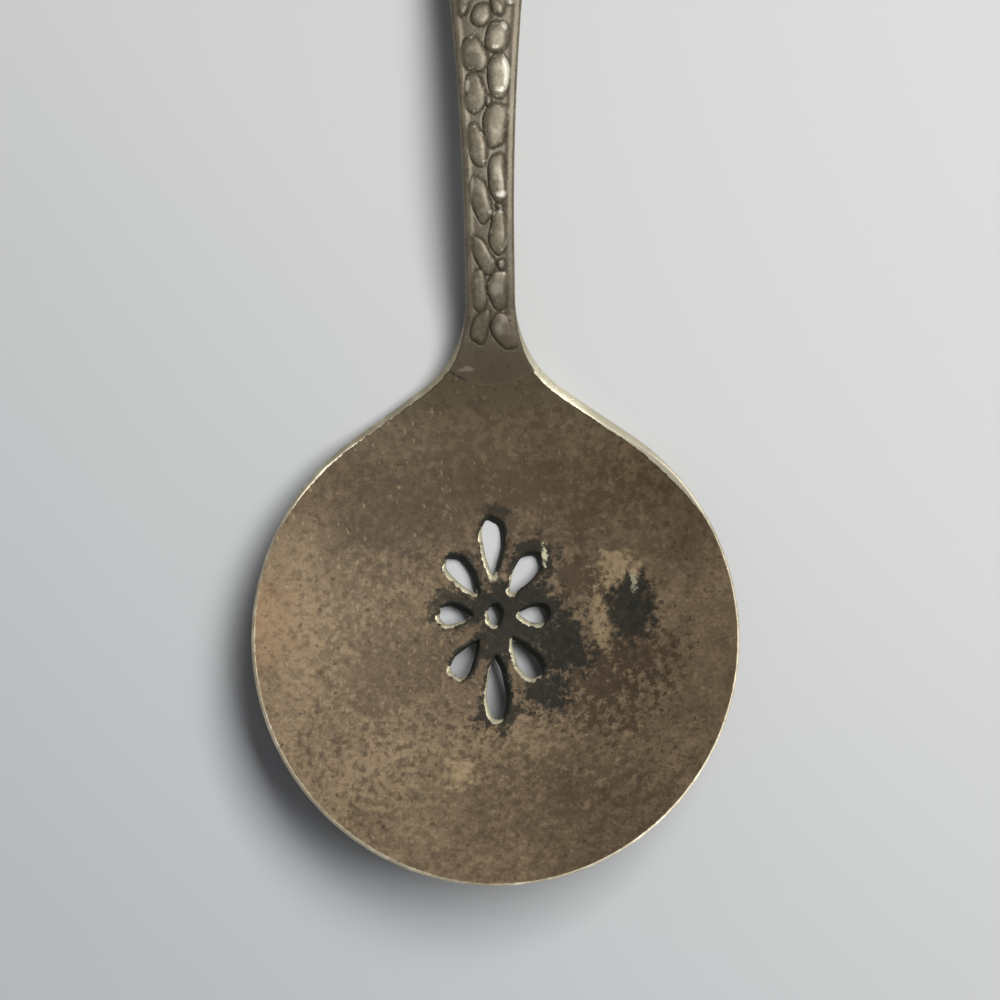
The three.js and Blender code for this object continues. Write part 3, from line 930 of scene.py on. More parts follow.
@dataclass
class Bowl(Part):
    """The raised round bowl with its shoulders, its notch and its sawn rosette."""

    piercing: Piercing
    node: ClassVar[str] = "bowl"
    slot: ClassVar[str] = "bowl_metal"
    plan: SheetPlan = field(default_factory=SheetPlan)
    spokes: tuple[int, int, int, int] = (150, 20, 70, 9)
    survey_steps: tuple[int, int, int] = (1200, 150, 200)
    past_seam: float = 25.7
    margin_rings: tuple[float, ...] = (0.12, 0.32, 0.6)
    outer_rings: int = 24
    inner_rings: int = 52
    inner_share: float = 0.5
    core: Pair = (0.3, 0.5)
    face_depth: float = 0.45

    def build(self) -> Piece:
        """Raises the bowl, cuts the notch for the handle and saws the rosette."""
        edge = self._whole_edge()
        top = self._surface(edge, upper=True)
        under = self._surface(edge, upper=False)
        piece = Bench.sheet_of_metal("bowl_dressed", top, under)
        Bench.cut(piece, self.seam.handle_side(self.seam.width), Cut.TAKE_AWAY)
        cuts = [Bench.lofted("saw_cut", self.piercing.cutter_rings(hole)) for hole in self.piercing.holes]
        Bench.cut(piece, Bench.joined(cuts), Cut.TAKE_AWAY)
        self._survey(piece)
        return piece

    def _whole_edge(self) -> Edge:
        """The bowl's edge all round, closed straight across the neck a little past the seam."""
        bowl, shoulder, fillet, across = self.spokes
        right = self.form.run({Stretch.BOWL: bowl, Stretch.SHOULDER: shoulder, Stretch.FILLET: fillet})
        right = right.part(right.y <= self.past_seam)
        x = np.linspace(right.x[-1], -right.x[-1], 2 * across + 2)
        nx = right.nx[-1] * x / right.x[-1]
        closing = Edge(x, np.full_like(x, right.y[-1]), nx, np.sqrt(1 - nx**2))
        return right.then(closing).then(right.mirrored())

    def _surface(self, edge: Edge, upper: bool) -> Array:
        """The places on the face or the underside, ring by ring from the edge in to the eye."""
        form, plan = self.form, self.plan
        bevel = form.bevel(edge.x, edge.y) if upper else np.full_like(edge.x, form.lower_edge)
        rings = []
        for share in plan.bevel_shares:
            x, y = edge.inset(share * bevel)
            if upper:
                z = form.top(x, y) - plan.bevel_fall(bevel, share, form)
            else:
                z = form.under(x, y) + plan.rub(share, form)
            rings.append(np.stack([x, y, z], 1))
        for margin in self.margin_rings:
            x, y = edge.inset(bevel + margin)
            rings.append(np.stack([x, y, form.top(x, y) if upper else form.under(x, y)], 1))
        outer_x, outer_y = x, y
        angle = np.arctan2(outer_y - self.piercing.eye_y, outer_x)
        core_x, core_y = self.core[0] * np.cos(angle), self.piercing.eye_y + self.core[1] * np.sin(angle)
        outer = np.linspace(1, self.inner_share, self.outer_rings + 1)[1:]
        inner = np.linspace(self.inner_share, 0, self.inner_rings + 1)[1:]
        for share in np.append(outer, inner):
            x, y = lerp(core_x, outer_x, share), lerp(core_y, outer_y, share)
            rings.append(np.stack([x, y, form.top(x, y) if upper else form.under(x, y)], 1))
        return np.stack(rings)

    def _survey(self, piece: Piece) -> None:
        """Notes for every vertex how far it is from the edge and from the nearest hole."""
        x, y, z = Bench.points(piece).T
        names = (Stretch.BOWL, Stretch.SHOULDER, Stretch.FILLET)
        fine = self.form.run(dict(zip(names, self.survey_steps)))
        inside, _ = distance_outside(np.abs(x), y, fine)
        hole, facing = self.piercing.survey(x, y)
        upper = smoothstep(z - (self.form.top(x, y) - self.face_depth), -FACE_FADE, FACE_FADE)
        Bench.keep_floats(piece, rim=-inside, hole=hole, facing=facing, upper=upper)


@dataclass
class Handle(Part):
    """The struck handle, from the round tongue at its root to its round end."""

    bed: PebbleBed
    node: ClassVar[str] = "handle"
    slot: ClassVar[str] = "handle_metal"
    columns: int = 56
    rows: tuple[int, int, int, int] = (84, 48, 330, 64)
    edge_start: int = 2 * EDGE_STEPS - 100
    edge_skip: int = 2
    groove_reach: float = 0.14
    face_depth: float = 0.5

    def build(self) -> Piece:
        """Makes the handle with its relief and trims its root to the tongue."""
        names = (Stretch.FILLET, Stretch.STEM, Stretch.FLARE, Stretch.END)
        edge = self.form.run(dict(zip(names, self.rows)))
        piece = RowSheet(self.form, self.bed).build("handle_dressed", edge, self.columns)
        Bench.cut(piece, self.seam.handle_side(0), Cut.KEEP)
        self._survey(piece)
        return piece

    def _survey(self, piece: Piece) -> None:
        """Notes for every vertex how far it is from the edge and where it is in the relief."""
        x, y, z = Bench.points(piece).T
        edge = self.form.right_edge.part(slice(self.edge_start, None, self.edge_skip))
        inside, _ = distance_outside(np.abs(x), y, edge)
        dome, outline, field_mask = self.bed.survey(x, y)
        upper = smoothstep(z - (self.form.top(x, y) - self.face_depth), -FACE_FADE, FACE_FADE)
        Bench.keep_floats(
            piece,
            rim=-inside,
            raised=dome / self.bed.height * field_mask,
            groove=np.exp(-((outline / self.groove_reach) ** 2)) * field_mask * upper,
            bedded=field_mask * upper,
        )


@dataclass
class SolderSeam(Part):
    """The thin run of hard solder that fills the seam."""

    bed: PebbleBed
    node: ClassVar[str] = "solder_seam"
    slot: ClassVar[str] = "solder"
    columns: int = 40
    rows: int = 40
    sunk: float = 0.008
    survey_steps: int = 600

    def build(self) -> Piece:
        """Makes the solder as a ribbon between the bowl's notch and the tongue."""
        edge = self.form.stretch(Stretch.FILLET, 3 * self.rows).part(slice(0, self.rows))
        piece = RowSheet(self.form, self.bed).build("solder_dressed", edge, self.columns)
        Bench.cut(piece, self.seam.handle_side(self.seam.width), Cut.KEEP)
        Bench.cut(piece, self.seam.handle_side(0), Cut.TAKE_AWAY)
        points = Bench.points(piece)
        points[:, 2] -= self.sunk
        Bench.set_points(piece, points)
        x, y, _ = points.T
        fine = self.form.stretch(Stretch.FILLET, self.survey_steps)
        inside, _ = distance_outside(np.abs(x), y, fine)
        Bench.keep_floats(piece, rim=-inside)
        return piece


def srgb(red: int, green: int, blue: int) -> Quad:
    """A colour written as 0 to 255 for a screen, as the linear values that a shader takes."""
    parts = []
    for part in (red / 255, green / 255, blue / 255):
        parts.append(part / 12.92 if part <= 0.04045 else ((part + 0.055) / 1.055) ** 2.4)
    return (*parts, 1.0)


class Wiring:
    """Places nodes in one tree and joins them."""

    def __init__(self, tree: Tree) -> None:
        """Takes the tree to work in."""
        self.tree = tree

    def feed(self, socket: Socket, value: Value) -> None:
        """Joins another socket to this one, or sets it to a value."""
        if isinstance(value, bpy.types.NodeSocket):
            self.tree.links.new(value, socket)
        else:
            socket.default_value = value

    def node(self, kind: str, inputs: dict | None = None, **settings: object) -> Node:
        """Adds a node.

        Args:
            kind: Blender's name for the type of node.
            inputs: A value or another socket for each of its inputs, by name or number.
            settings: Its own settings.

        Returns:
            The node.
        """
        node = self.tree.nodes.new(kind)
        for name, value in settings.items():
            setattr(node, name, value)
        for key, value in (inputs or {}).items():
            self.feed(node.inputs[key], value)
        return node

    def maths(self, operation: str, a: Value, b: Value = 0.0) -> Socket:
        """The result of a sum on one or two numbers."""
        return self.node("ShaderNodeMath", {0: a, 1: b}, operation=operation).outputs[0]

    def plus(self, a: Value, b: Value) -> Socket:
        """One number added to another."""
        return self.maths("ADD", a, b)

    def minus(self, a: Value, b: Value) -> Socket:
        """One number taken from another."""
        return self.maths("SUBTRACT", a, b)

    def larger(self, a: Value, b: Value) -> Socket:
        """The larger of two numbers."""
        return self.maths("MAXIMUM", a, b)

    def product(self, *factors: Value) -> Socket:
        """Several numbers multiplied together."""
        result = factors[0]
        for factor in factors[1:]:
            result = self.maths("MULTIPLY", result, factor)
        return result

    def vectors(self, operation: str, a: Value, b: Value) -> Socket:
        """The result of a sum on two vectors."""
        return self.node("ShaderNodeVectorMath", {0: a, 1: b}, operation=operation).outputs[0]

    def step(self, value: Value, low: Value, high: Value) -> Socket:
        """A smooth step from 0 at low to 1 at high, or back down where low is the larger."""
        inputs = {"Value": value, "From Min": low, "From Max": high}
        return self.node("ShaderNodeMapRange", inputs, interpolation_type="SMOOTHSTEP").outputs[0]

    def ridge(self, value: Value, low: float, full: float, high: float, end: float) -> Socket:
        """1 between full and end, falling to 0 at low and at high."""
        return self.product(self.step(value, low, full), self.step(value, high, end))

    def ranged(self, value: Value, low: float, high: float, to_low: float, to_high: float) -> Socket:
        """A number moved from one range to another and held inside it."""
        inputs = {"Value": value, "From Min": low, "From Max": high, "To Min": to_low, "To Max": to_high}
        return self.node("ShaderNodeMapRange", inputs).outputs[0]

    def blend(self, share: Value, a: Value, b: Value, how: str = "MIX") -> Socket:
        """Two colours mixed."""
        inputs = {0: share, 6: a, 7: b}
        return self.node("ShaderNodeMix", inputs, data_type="RGBA", blend_type=how).outputs[2]

    def noise(
        self, vector: Value, scale: Value, detail: float = 2.0, rough: float = 0.5, warp: float = 0.0
    ) -> Node:
        """A noise pattern."""
        inputs = {"Vector": vector, "Scale": scale, "Detail": detail, "Roughness": rough, "Distortion": warp}
        return self.node("ShaderNodeTexNoise", inputs)

    def float_of(self, name: str) -> Socket:
        """The number that the piece keeps for every vertex under a name."""
        return self.node("ShaderNodeAttribute", attribute_name=name).outputs["Fac"]

    def place_on_spoon(self, shift_y: float) -> Socket:
        """The point's place in millimetres from the middle of the bowl."""
        place = self.node("ShaderNodeTexCoord").outputs["Object"]
        inputs = {"Vector": place, "Location": (0, -shift_y, 0), "Scale": (1 / MM,) * 3}
        return self.node("ShaderNodeMapping", inputs).outputs[0]

    def use(self, group: Tree, **inputs: Value) -> Node:
        """Places a node group with its own values."""
        node = self.node("ShaderNodeGroup", node_tree=group)
        for name, value in inputs.items():
            self.feed(node.inputs[name], value)
        return node


IN_PLAN = (1.0, 1.0, 0.0)
FLOAT, COLOUR, VECTOR = "NodeSocketFloat", "NodeSocketColor", "NodeSocketVector"


class EffectGroup:
    """A shader node group with named inputs and outputs, used by several finishes."""

    def __init__(self, name: str, inputs: dict[str, str], outputs: dict[str, str]) -> None:
        """Makes the group's tree and its sockets."""
        self.tree = bpy.data.node_groups.new(name, "ShaderNodeTree")
        for label, kind in inputs.items():
            self.tree.interface.new_socket(name=label, in_out="INPUT", socket_type=kind)
        for label, kind in outputs.items():
            self.tree.interface.new_socket(name=label, in_out="OUTPUT", socket_type=kind)
        self.wiring = Wiring(self.tree)
        self.given = self.wiring.node("NodeGroupInput").outputs
        self.result = self.wiring.node("NodeGroupOutput").inputs

    def give(self, name: str, value: Value) -> None:
        """Joins a socket to one of the group's outputs."""
        self.wiring.feed(self.result[name], value)


@dataclass(frozen=True)
class Effects:
    """The effects that the finishes share, each built when it is first asked for."""

    tarnish_shares: Triple = (0.32, 0.34, 0.34)
    to_middle: Pair = (0.32, 0.56)
    to_pale: Pair = (0.44, 0.72)
    shading: Quad = (0.3, 0.7, 0.68, 1.32)
    tarnish_relief: Pair = (0.6, 0.5)
    speck_jitter: float = 0.5
    speck_sizes: Pair = (0.35, 1.0)
    speck_core: float = 0.45
    scratch_bend: Triple = (4.0, 4.0, 0.0)
    scratch_stretch: Triple = (0.16, 1.0, 0.0)
    scratch_width: Pair = (0.012, 0.002)
    wear_blur: float = 0.05
    line_inset: float = 0.06
    line_width: float = 0.1

    @cached_property
    def mottle(self) -> Tree:
        """Uneven tarnish: three colours clouded into each other at three scales."""
        inputs = {"Vector": VECTOR, "Dark": COLOUR, "Middle": COLOUR, "Pale": COLOUR, "Lighten": FLOAT}
        group = EffectGroup("uneven_tarnish", inputs, {"Color": COLOUR, "Height": FLOAT})
        w, given = group.wiring, group.given
        cloud = w.noise(given["Vector"], scale=0.16, detail=3.0, rough=0.55, warp=0.2).outputs[0]
        patch = w.noise(given["Vector"], scale=0.62, detail=6.0, rough=0.7, warp=0.1).outputs[0]
        grain = w.noise(given["Vector"], scale=2.2, detail=5.0, rough=0.75).outputs[0]
        total = given["Lighten"]
        for layer, share in zip((cloud, patch, grain), self.tarnish_shares):
            total = w.plus(total, w.product(layer, share))
        colour = w.blend(w.step(total, *self.to_middle), given["Dark"], given["Middle"])
        colour = w.blend(w.step(total, *self.to_pale), colour, given["Pale"])
        fine = w.noise(given["Vector"], scale=3.0, detail=6.0, rough=0.8).outputs[0]
        group.give("Color", w.blend(1.0, colour, w.ranged(fine, *self.shading), "MULTIPLY"))
        coarse, close = self.tarnish_relief
        group.give("Height", w.plus(w.product(patch, coarse), w.product(grain, close)))
        return group.tree

    @cached_property
    def stain(self) -> Tree:
        """One ragged patch of stain."""
        inputs = {"Vector": VECTOR, "Centre": VECTOR, "Size": VECTOR}
        inputs |= {"Ragged": FLOAT, "Soft": FLOAT, "Fineness": FLOAT}
        group = EffectGroup("stain_patch", inputs, {"Mask": FLOAT})
        w, given = group.wiring, group.given
        place = w.vectors("SUBTRACT", given["Vector"], given["Centre"])
        place = w.vectors("MULTIPLY", w.vectors("DIVIDE", place, given["Size"]), IN_PLAN)
        reach = w.node("ShaderNodeVectorMath", {0: place}, operation="LENGTH").outputs["Value"]
        crust = w.noise(given["Vector"], scale=given["Fineness"], detail=8.0, rough=0.7, warp=0.1).outputs[0]
        change = w.product(w.minus(crust, 0.5), given["Ragged"])
        depth = w.plus(w.minus(1.0, reach), change)
        low = w.maths("MULTIPLY", given["Soft"], -1.0)
        group.give("Mask", w.step(depth, low, given["Soft"]))
        return group.tree

    @cached_property
    def specks(self) -> Tree:
        """Small round specks and pits, scattered and of several sizes."""
        inputs = {"Vector": VECTOR, "Spacing": FLOAT, "Size": FLOAT, "Share": FLOAT}
        group = EffectGroup("specks", inputs, {"Mask": FLOAT})
        w, given = group.wiring, group.given
        jitter = w.noise(given["Vector"], scale=2.5, detail=2.0, rough=0.6).outputs["Color"]
        moved = w.vectors("ADD", given["Vector"], w.vectors("MULTIPLY", jitter, (self.speck_jitter,) * 3))
        scale = w.maths("DIVIDE", 1.0, given["Spacing"])
        cells = w.node("ShaderNodeTexVoronoi", {"Vector": moved, "Scale": scale}, voronoi_dimensions="2D")
        away = w.product(cells.outputs["Distance"], given["Spacing"])
        chance = w.node("ShaderNodeSeparateColor", {0: cells.outputs["Color"]}).outputs
        radius = w.product(given["Size"], w.ranged(chance[1], 0, 1, *self.speck_sizes))
        inside = w.step(away, radius, w.product(radius, self.speck_core))
        group.give("Mask", w.product(inside, w.maths("LESS_THAN", chance[0], given["Share"])))
        return group.tree

    @cached_property
    def scratches(self) -> Tree:
        """Fine scratches that run roughly one way."""
        inputs = {"Vector": VECTOR, "Angle": FLOAT, "Closeness": FLOAT, "Share": FLOAT}
        group = EffectGroup("fine_scratches", inputs, {"Mask": FLOAT})
        w, given = group.wiring, group.given
        bend = w.noise(given["Vector"], scale=0.12, detail=1.0).outputs["Color"]
        moved = w.vectors("ADD", given["Vector"], w.vectors("MULTIPLY", bend, self.scratch_bend))
        turn = {"Vector": moved, "Angle": given["Angle"]}
        turned = w.node("ShaderNodeVectorRotate", turn, rotation_type="Z_AXIS").outputs[0]
        long = w.vectors("MULTIPLY", turned, self.scratch_stretch)
        lines = w.noise(long, scale=given["Closeness"], detail=2.0, rough=0.5).outputs[0]
        thin = w.step(w.maths("ABSOLUTE", w.minus(lines, 0.5)), *self.scratch_width)
        where = w.noise(given["Vector"], scale=0.8, detail=2.0).outputs[0]
        group.give("Mask", w.product(thin, w.step(where, w.minus(1.0, given["Share"]), 1.0)))
        return group.tree

    @cached_property
    def wear(self) -> Tree:
        """Bare metal along an edge, ragged where it meets the tarnish."""
        inputs = {"Vector": VECTOR, "Distance": FLOAT, "Width": FLOAT, "Ragged": FLOAT}
        group = EffectGroup("worn_edge", inputs, {"Mask": FLOAT, "Line": FLOAT})
        w, given = group.wiring, group.given
        rough = w.noise(given["Vector"], scale=1.9, detail=4.0, rough=0.7).outputs[0]
        change = w.product(w.minus(rough, 0.5), given["Ragged"])
        limit = w.plus(given["Width"], change)
        beyond = w.minus(given["Distance"], limit)
        group.give("Mask", w.step(beyond, self.wear_blur, -self.wear_blur))
        away = w.maths("ABSOLUTE", w.minus(beyond, self.line_inset))
        group.give("Line", w.step(away, self.line_width, 0.0))
        return group.tree


def new_material(name: str) -> tuple[Material, Wiring, Node]:
    """A material with an empty tree.

    Args:
        name: The material's name.

    Returns:
        The material, its wiring and its Principled shader, joined to the output.
    """
    material = bpy.data.materials.new(name)
    material.use_nodes = True
    material.node_tree.nodes.clear()
    w = Wiring(material.node_tree)
    shader = w.node("ShaderNodeBsdfPrincipled")
    output = w.node("ShaderNodeOutputMaterial")
    w.feed(output.inputs["Surface"], shader.outputs[0])
    return material, w, shader


@dataclass(frozen=True)
class Stain:
    """A patch of stain: place and size in millimetres, raggedness, softness, strength and fineness."""

    x: float
    y: float
    width: float
    length: float
    ragged: float
    soft: float
    strength: float
    fineness: float = 0.8


@dataclass(frozen=True)
class Scatter:
    """Scattered specks: spacing and size in millimetres, share of the places taken and strength."""

    spacing: float
    size: float
    share: float
    strength: float = 1.0


@dataclass(frozen=True)
class Palette:
    """The colours of tarnished silver plate."""

    dark: tuple = srgb(85, 72, 56)
    middle: tuple = srgb(114, 97, 76)
    pale: tuple = srgb(142, 123, 98)
    umber: tuple = srgb(90, 74, 54)
    olive: tuple = srgb(88, 79, 62)
    sulphide: tuple = srgb(34, 34, 28)
    brown_spot: tuple = srgb(64, 51, 38)
    tan: tuple = srgb(158, 138, 107)
    orange: tuple = srgb(150, 115, 82)
    bare: tuple = srgb(208, 201, 178)
    dull_bare: tuple = srgb(158, 150, 130)
    cream: tuple = srgb(216, 210, 180)
    grime: tuple = srgb(48, 42, 33)

    @property
    def tarnish(self) -> tuple:
        """The dark, middle and pale tone of the tarnish on the bowl."""
        return self.dark, self.middle, self.pale


class Surface:
    """A finish in the making: its wiring and shader, the place on the spoon and the colour so far."""

    def __init__(self, name: str, effects: Effects, shift_y: float) -> None:
        """Starts the material."""
        self.material, self.w, self.shader = new_material(name)
        self.effects = effects
        self.place = self.w.place_on_spoon(shift_y)
        self.x, self.y = self.w.node("ShaderNodeSeparateXYZ", {0: self.place}).outputs[:2]
        self.colour: Value = (0.0, 0.0, 0.0, 1.0)

    def lay(self, share: Value, colour: Value) -> None:
        """Lays a colour over what is there so far."""
        self.colour = self.w.blend(share, self.colour, colour)

    def tarnish(
        self, tones: tuple, painted_light_lift: Value = 0.0, stretch: tuple = (1.0, 1.0, 1.0)
    ) -> Node:
        """Uneven tarnish in a dark, a middle and a pale tone."""
        dark, middle, pale = tones
        place = self.w.vectors("MULTIPLY", self.place, stretch)
        return self.w.use(
            self.effects.mottle, Vector=place, Dark=dark, Middle=middle, Pale=pale, Lighten=painted_light_lift
        )

    def patch(self, stain: Stain) -> Socket:
        """The mask of one stain."""
        node = self.w.use(
            self.effects.stain,
            Vector=self.place,
            Centre=(stain.x, stain.y, 0),
            Size=(stain.width, stain.length, 1),
            Ragged=stain.ragged,
            Soft=stain.soft,
            Fineness=stain.fineness,
        )
        return self.w.product(node.outputs[0], stain.strength)

    def lay_stains(self, stains: tuple[Stain, ...], colour: Value, within: Value = 1.0) -> None:
        """Lays several stains of one colour, no further than a mask reaches."""
        for stain in stains:
            self.lay(self.w.product(self.patch(stain), within), colour)

    def specks(self, kind: Scatter, stretch: tuple = (1.0, 1.0, 1.0)) -> Socket:
        """The mask of scattered specks."""
        place = self.w.vectors("MULTIPLY", self.place, stretch)
        node = self.w.use(
            self.effects.specks, Vector=place, Spacing=kind.spacing, Size=kind.size, Share=kind.share
        )
        return node.outputs[0]

    def dull(self, height: Socket, roughness: Pair) -> Socket:
        """Roughness that follows the tarnish, from its thinnest to its thickest places."""
        return self.w.ranged(height, *TARNISH_HEIGHTS, *roughness)

    def finished(self, metallic: Value, roughness: Value, height: Value, bump: tuple) -> Material:
        """Feeds the shader.

        Args:
            metallic: How far the surface is bare metal.
            roughness: Its roughness.
            height: Height of the tarnish.
            bump: How strongly the height shows and how much it is in metres.

        Returns:
            The material.
        """
        w, shader = self.w, self.shader
        strength, distance = bump
        relief = w.node("ShaderNodeBump", {"Strength": strength, "Distance": distance, "Height": height})
        w.feed(shader.inputs["Base Color"], self.colour)
        w.feed(shader.inputs["Metallic"], metallic)
        w.feed(shader.inputs["Roughness"], roughness)
        w.feed(shader.inputs["Normal"], relief.outputs[0])
        return self.material


@dataclass(frozen=True)
class Finish:
    """What every finish is given: the shared effects, where the spoon lies and its colours."""

    effects: Effects
    shift_y: float
    palette: Palette = field(default_factory=Palette)

    def material(self) -> Material:
        """Makes the material."""
        raise NotImplementedError


@dataclass(frozen=True)
class BowlFinish(Finish):
    """Brown tarnish, black stains round the rosette, bare metal along the worn edges, and painted light and
    shade.
    """

    # painted light: the tarnish is made lighter towards the lower left, where the dish faces the lamp
    painted_light_towards: Pair = (-0.85, -0.5)
    painted_light_from: Pair = (4, 22)
    painted_light_by: Pair = (-0.03, 0.06)
    # painted shade: umber and olive tones darken the bowl towards the neck, which is turned from the lamp
    umber_shade_fade: Pair = (5.0, 16.0)
    umber_share: float = 0.6
    olive_shade_fade: Pair = (16.0, 24.0)
    olive_share: float = 0.8
    warm_across: Pair = (15.5, 22.5)
    warm_middle: float = 1.5
    warm_reach: Pair = (6.0, 1.5)
    warm_share: float = 0.45
    freckles: Scatter = Scatter(1.5, 0.28, 0.4, 0.6)
    dots: Scatter = Scatter(0.62, 0.13, 0.3, 0.45)
    flecks: Scatter = Scatter(0.8, 0.17, 0.3)
    fleck_stretch: Triple = (1.0, 0.55, 1.0)
    fleck_strength: Quad = (-12, 8, 0.5, 0.15)
    # soot round and inside the holes: black tarnish, with painted shade making it heavier on the side turned
    # from the lamp
    soot_width: Quad = (0.34, 0.66, 0.16, 0.85)
    soot_core: float = 0.55
    soot_shade_side: Quad = (-0.6, 0.8, 1.0, 0.8)
    soot_thickness: Quad = (0.35, 0.6, 0.86, 1.0)
    hole_wall: Pair = (0.04, 0.0)
    scratches: tuple[tuple, ...] = ((0.6, 1.3, 0.5), (2.5, 1.7, 0.45))
    scratch_strength: float = 0.4
    # the lips: worn bare metal, painted as a highlight on the side of each hole that faces the lamp
    lip_width: float = 0.5
    lip_inset: float = 0.12
    lip_growth: Pair = (0.0, 0.9)
    lit_lip_side: Pair = (0.1, 0.4)
    lip_depth: Pair = (-0.4, -0.05)
    lip_tone: Pair = (0.34, 0.5)
    lip_ragged: float = 0.75
    lip_share: float = 0.95
    edge_width: float = 0.2
    shoulder_widths: Pair = (0.3, 0.56)
    heel_width: float = 0.12
    edge_ragged: Pair = (0.22, 0.42)
    edge_share: float = 0.92
    edge_tone: Pair = (0.42, 0.82)
    # painted highlight: how much brighter the bare edge is on the right shoulder, which faces the lamp
    right_painted_light: float = 0.35
    black_roughness: float = 0.1
    wear_polish: float = 0.2
    freckle_depth: float = 0.4
    scratch_depth: float = 0.25
    shoulder_fade: Pair = (9.0, 16.0)
    right_fade: Pair = (-2.0, 6.0)
    left_fade: Pair = (12.0, 20.0)
    roughness: Pair = (0.5, 0.64)
    metallic: Pair = (0.18, 0.5)
    bump: Pair = (0.55, 0.00006)
    black: tuple[Stain, ...] = (
        Stain(1.6, 2.2, 4.4, 3.0, 3.0, 0.2, 1.0, 1.0),
        Stain(3.6, 6.8, 2.2, 2.1, 3.0, 0.2, 0.95, 1.2),
        Stain(0.9, -0.6, 2.9, 2.1, 3.0, 0.2, 0.95, 1.1),
        Stain(6.2, -0.8, 2.7, 3.2, 4.4, 0.3, 1.0, 1.1),
        Stain(12.7, 2.3, 2.4, 3.0, 3.2, 0.35, 1.0, 1.0),
        Stain(12.9, 1.9, 1.7, 2.1, 1.6, 0.3, 1.0, 1.0),
        Stain(4.6, -5.4, 2.2, 1.8, 3.8, 0.3, 0.95, 1.3),
        Stain(0.1, -7.4, 2.1, 1.7, 3.2, 0.2, 0.9, 1.2),
        Stain(-3.9, 2.4, 2.3, 1.9, 3.6, 0.2, 0.85, 1.3),
        Stain(-2.6, 5.6, 1.7, 2.0, 3.6, 0.2, 0.7, 1.3),
        Stain(0.2, 11.2, 1.2, 0.9, 2.6, 0.3, 0.8, 1.3),
    )
    brown: tuple[Stain, ...] = (
        Stain(9.8, -4.4, 4.2, 3.6, 9.0, 0.3, 0.85, 1.3),
        Stain(7.6, 4.9, 2.2, 1.6, 7.0, 0.25, 0.8, 1.4),
        Stain(13.4, -2.2, 3.2, 2.6, 8.0, 0.25, 0.75, 1.3),
        Stain(1.0, 14.0, 12.0, 5.0, 10.5, 0.8, 0.55, 1.0),
        Stain(-9.5, 10.0, 6.0, 5.0, 10.5, 0.8, 0.5, 1.1),
        Stain(13.0, 8.5, 6.0, 5.5, 10.0, 0.8, 0.25, 1.0),
        Stain(2.0, -15.5, 12.0, 5.0, 11.0, 0.7, 0.35, 1.2),
        Stain(-10.0, -2.0, 6.0, 7.0, 11.5, 0.7, 0.45, 1.2),
        Stain(8.0, -11.0, 6.0, 4.0, 10.5, 0.6, 0.35, 1.2),
    )
    pale: tuple[Stain, ...] = (
        Stain(11.3, 5.9, 2.0, 1.6, 3.6, 0.3, 0.85, 1.3),
        Stain(9.9, 1.4, 0.9, 3.2, 3.2, 0.4, 0.65, 1.3),
        Stain(-3.7, -12.6, 1.5, 1.5, 3.0, 0.35, 0.85, 1.3),
        Stain(-7.4, 3.4, 4.2, 3.6, 9.0, 0.35, 0.35, 1.9),
        Stain(-8.5, -13.0, 6.0, 4.0, 9.0, 0.7, 0.25, 1.5),
        Stain(-18.0, 1.5, 4.0, 7.0, 7.0, 0.8, 0.4, 1.1),
        Stain(3.0, -9.8, 5.0, 2.5, 9.0, 0.5, 0.3, 1.6),
    )
    scuffs: tuple[Stain, ...] = (
        Stain(13.0, 4.6, 0.25, 0.8, 6.0, 0.5, 0.4, 3.4),
        Stain(4.7, 7.2, 0.25, 0.8, 5.0, 0.4, 0.8, 2.6),
        Stain(-0.15, 5.3, 0.4, 0.5, 2.5, 0.4, 0.6, 2.0),
    )

    def material(self) -> Material:
        """Makes the material."""
        s = Surface("tarnished_bowl", self.effects, self.shift_y)
        w, colours = s.w, self.palette
        slant = w.plus(w.product(s.x, self.painted_light_towards[0]), w.product(s.y, self.painted_light_towards[1]))
        height = self._lay_tarnish(s, slant)
        s.lay_stains(self.pale, colours.tan)
        s.lay_stains(self.brown, colours.brown_spot)
        freckles = s.specks(self.freckles)
        s.lay(w.product(freckles, self.freckles.strength), colours.brown_spot)
        s.lay(w.product(s.specks(self.dots), self.dots.strength), colours.dark)
        flecks = w.product(s.specks(self.flecks, self.fleck_stretch), w.ranged(s.x, *self.fleck_strength))
        s.lay(flecks, colours.tan)
        soot_edge = w.noise(s.place, scale=1.6, detail=4.0, rough=0.7).outputs[0]
        black = self._black(s, soot_edge)
        s.lay(black, colours.sulphide)
        marks = 0.0
        for angle, closeness, share in self.scratches:
            lines = {"Vector": s.place, "Angle": angle, "Closeness": closeness, "Share": share}
            marks = w.larger(marks, w.use(self.effects.scratches, **lines).outputs[0])
        s.lay(w.product(marks, self.scratch_strength), colours.cream)
        lip = self._lay_lips(s, soot_edge)
        s.lay_stains(self.scuffs, colours.cream)
        bare = self._lay_edge(s, slant)

        s.shader.inputs["IOR"].default_value = DULL_IOR
        wear_and_highlight = w.larger(lip, bare)
        dull = w.plus(s.dull(height, self.roughness), w.product(black, self.black_roughness))
        dull = w.minus(dull, w.product(wear_and_highlight, self.wear_polish))
        height = w.minus(height, w.product(freckles, self.freckle_depth))
        height = w.minus(height, w.product(marks, self.scratch_depth))
        return s.finished(w.ranged(wear_and_highlight, 0, 1, *self.metallic), dull, height, self.bump)

    def _lay_tarnish(self, s: Surface, slant: Socket) -> Socket:
        """Lays the clouded ground: painted light to the lower left, painted shade towards the neck, orange
        at the far left.

        Args:
            s: The finish in the making.
            slant: How far a point lies towards the lower left.

        Returns:
            The height of the tarnish.
        """
        w, colours = s.w, self.palette
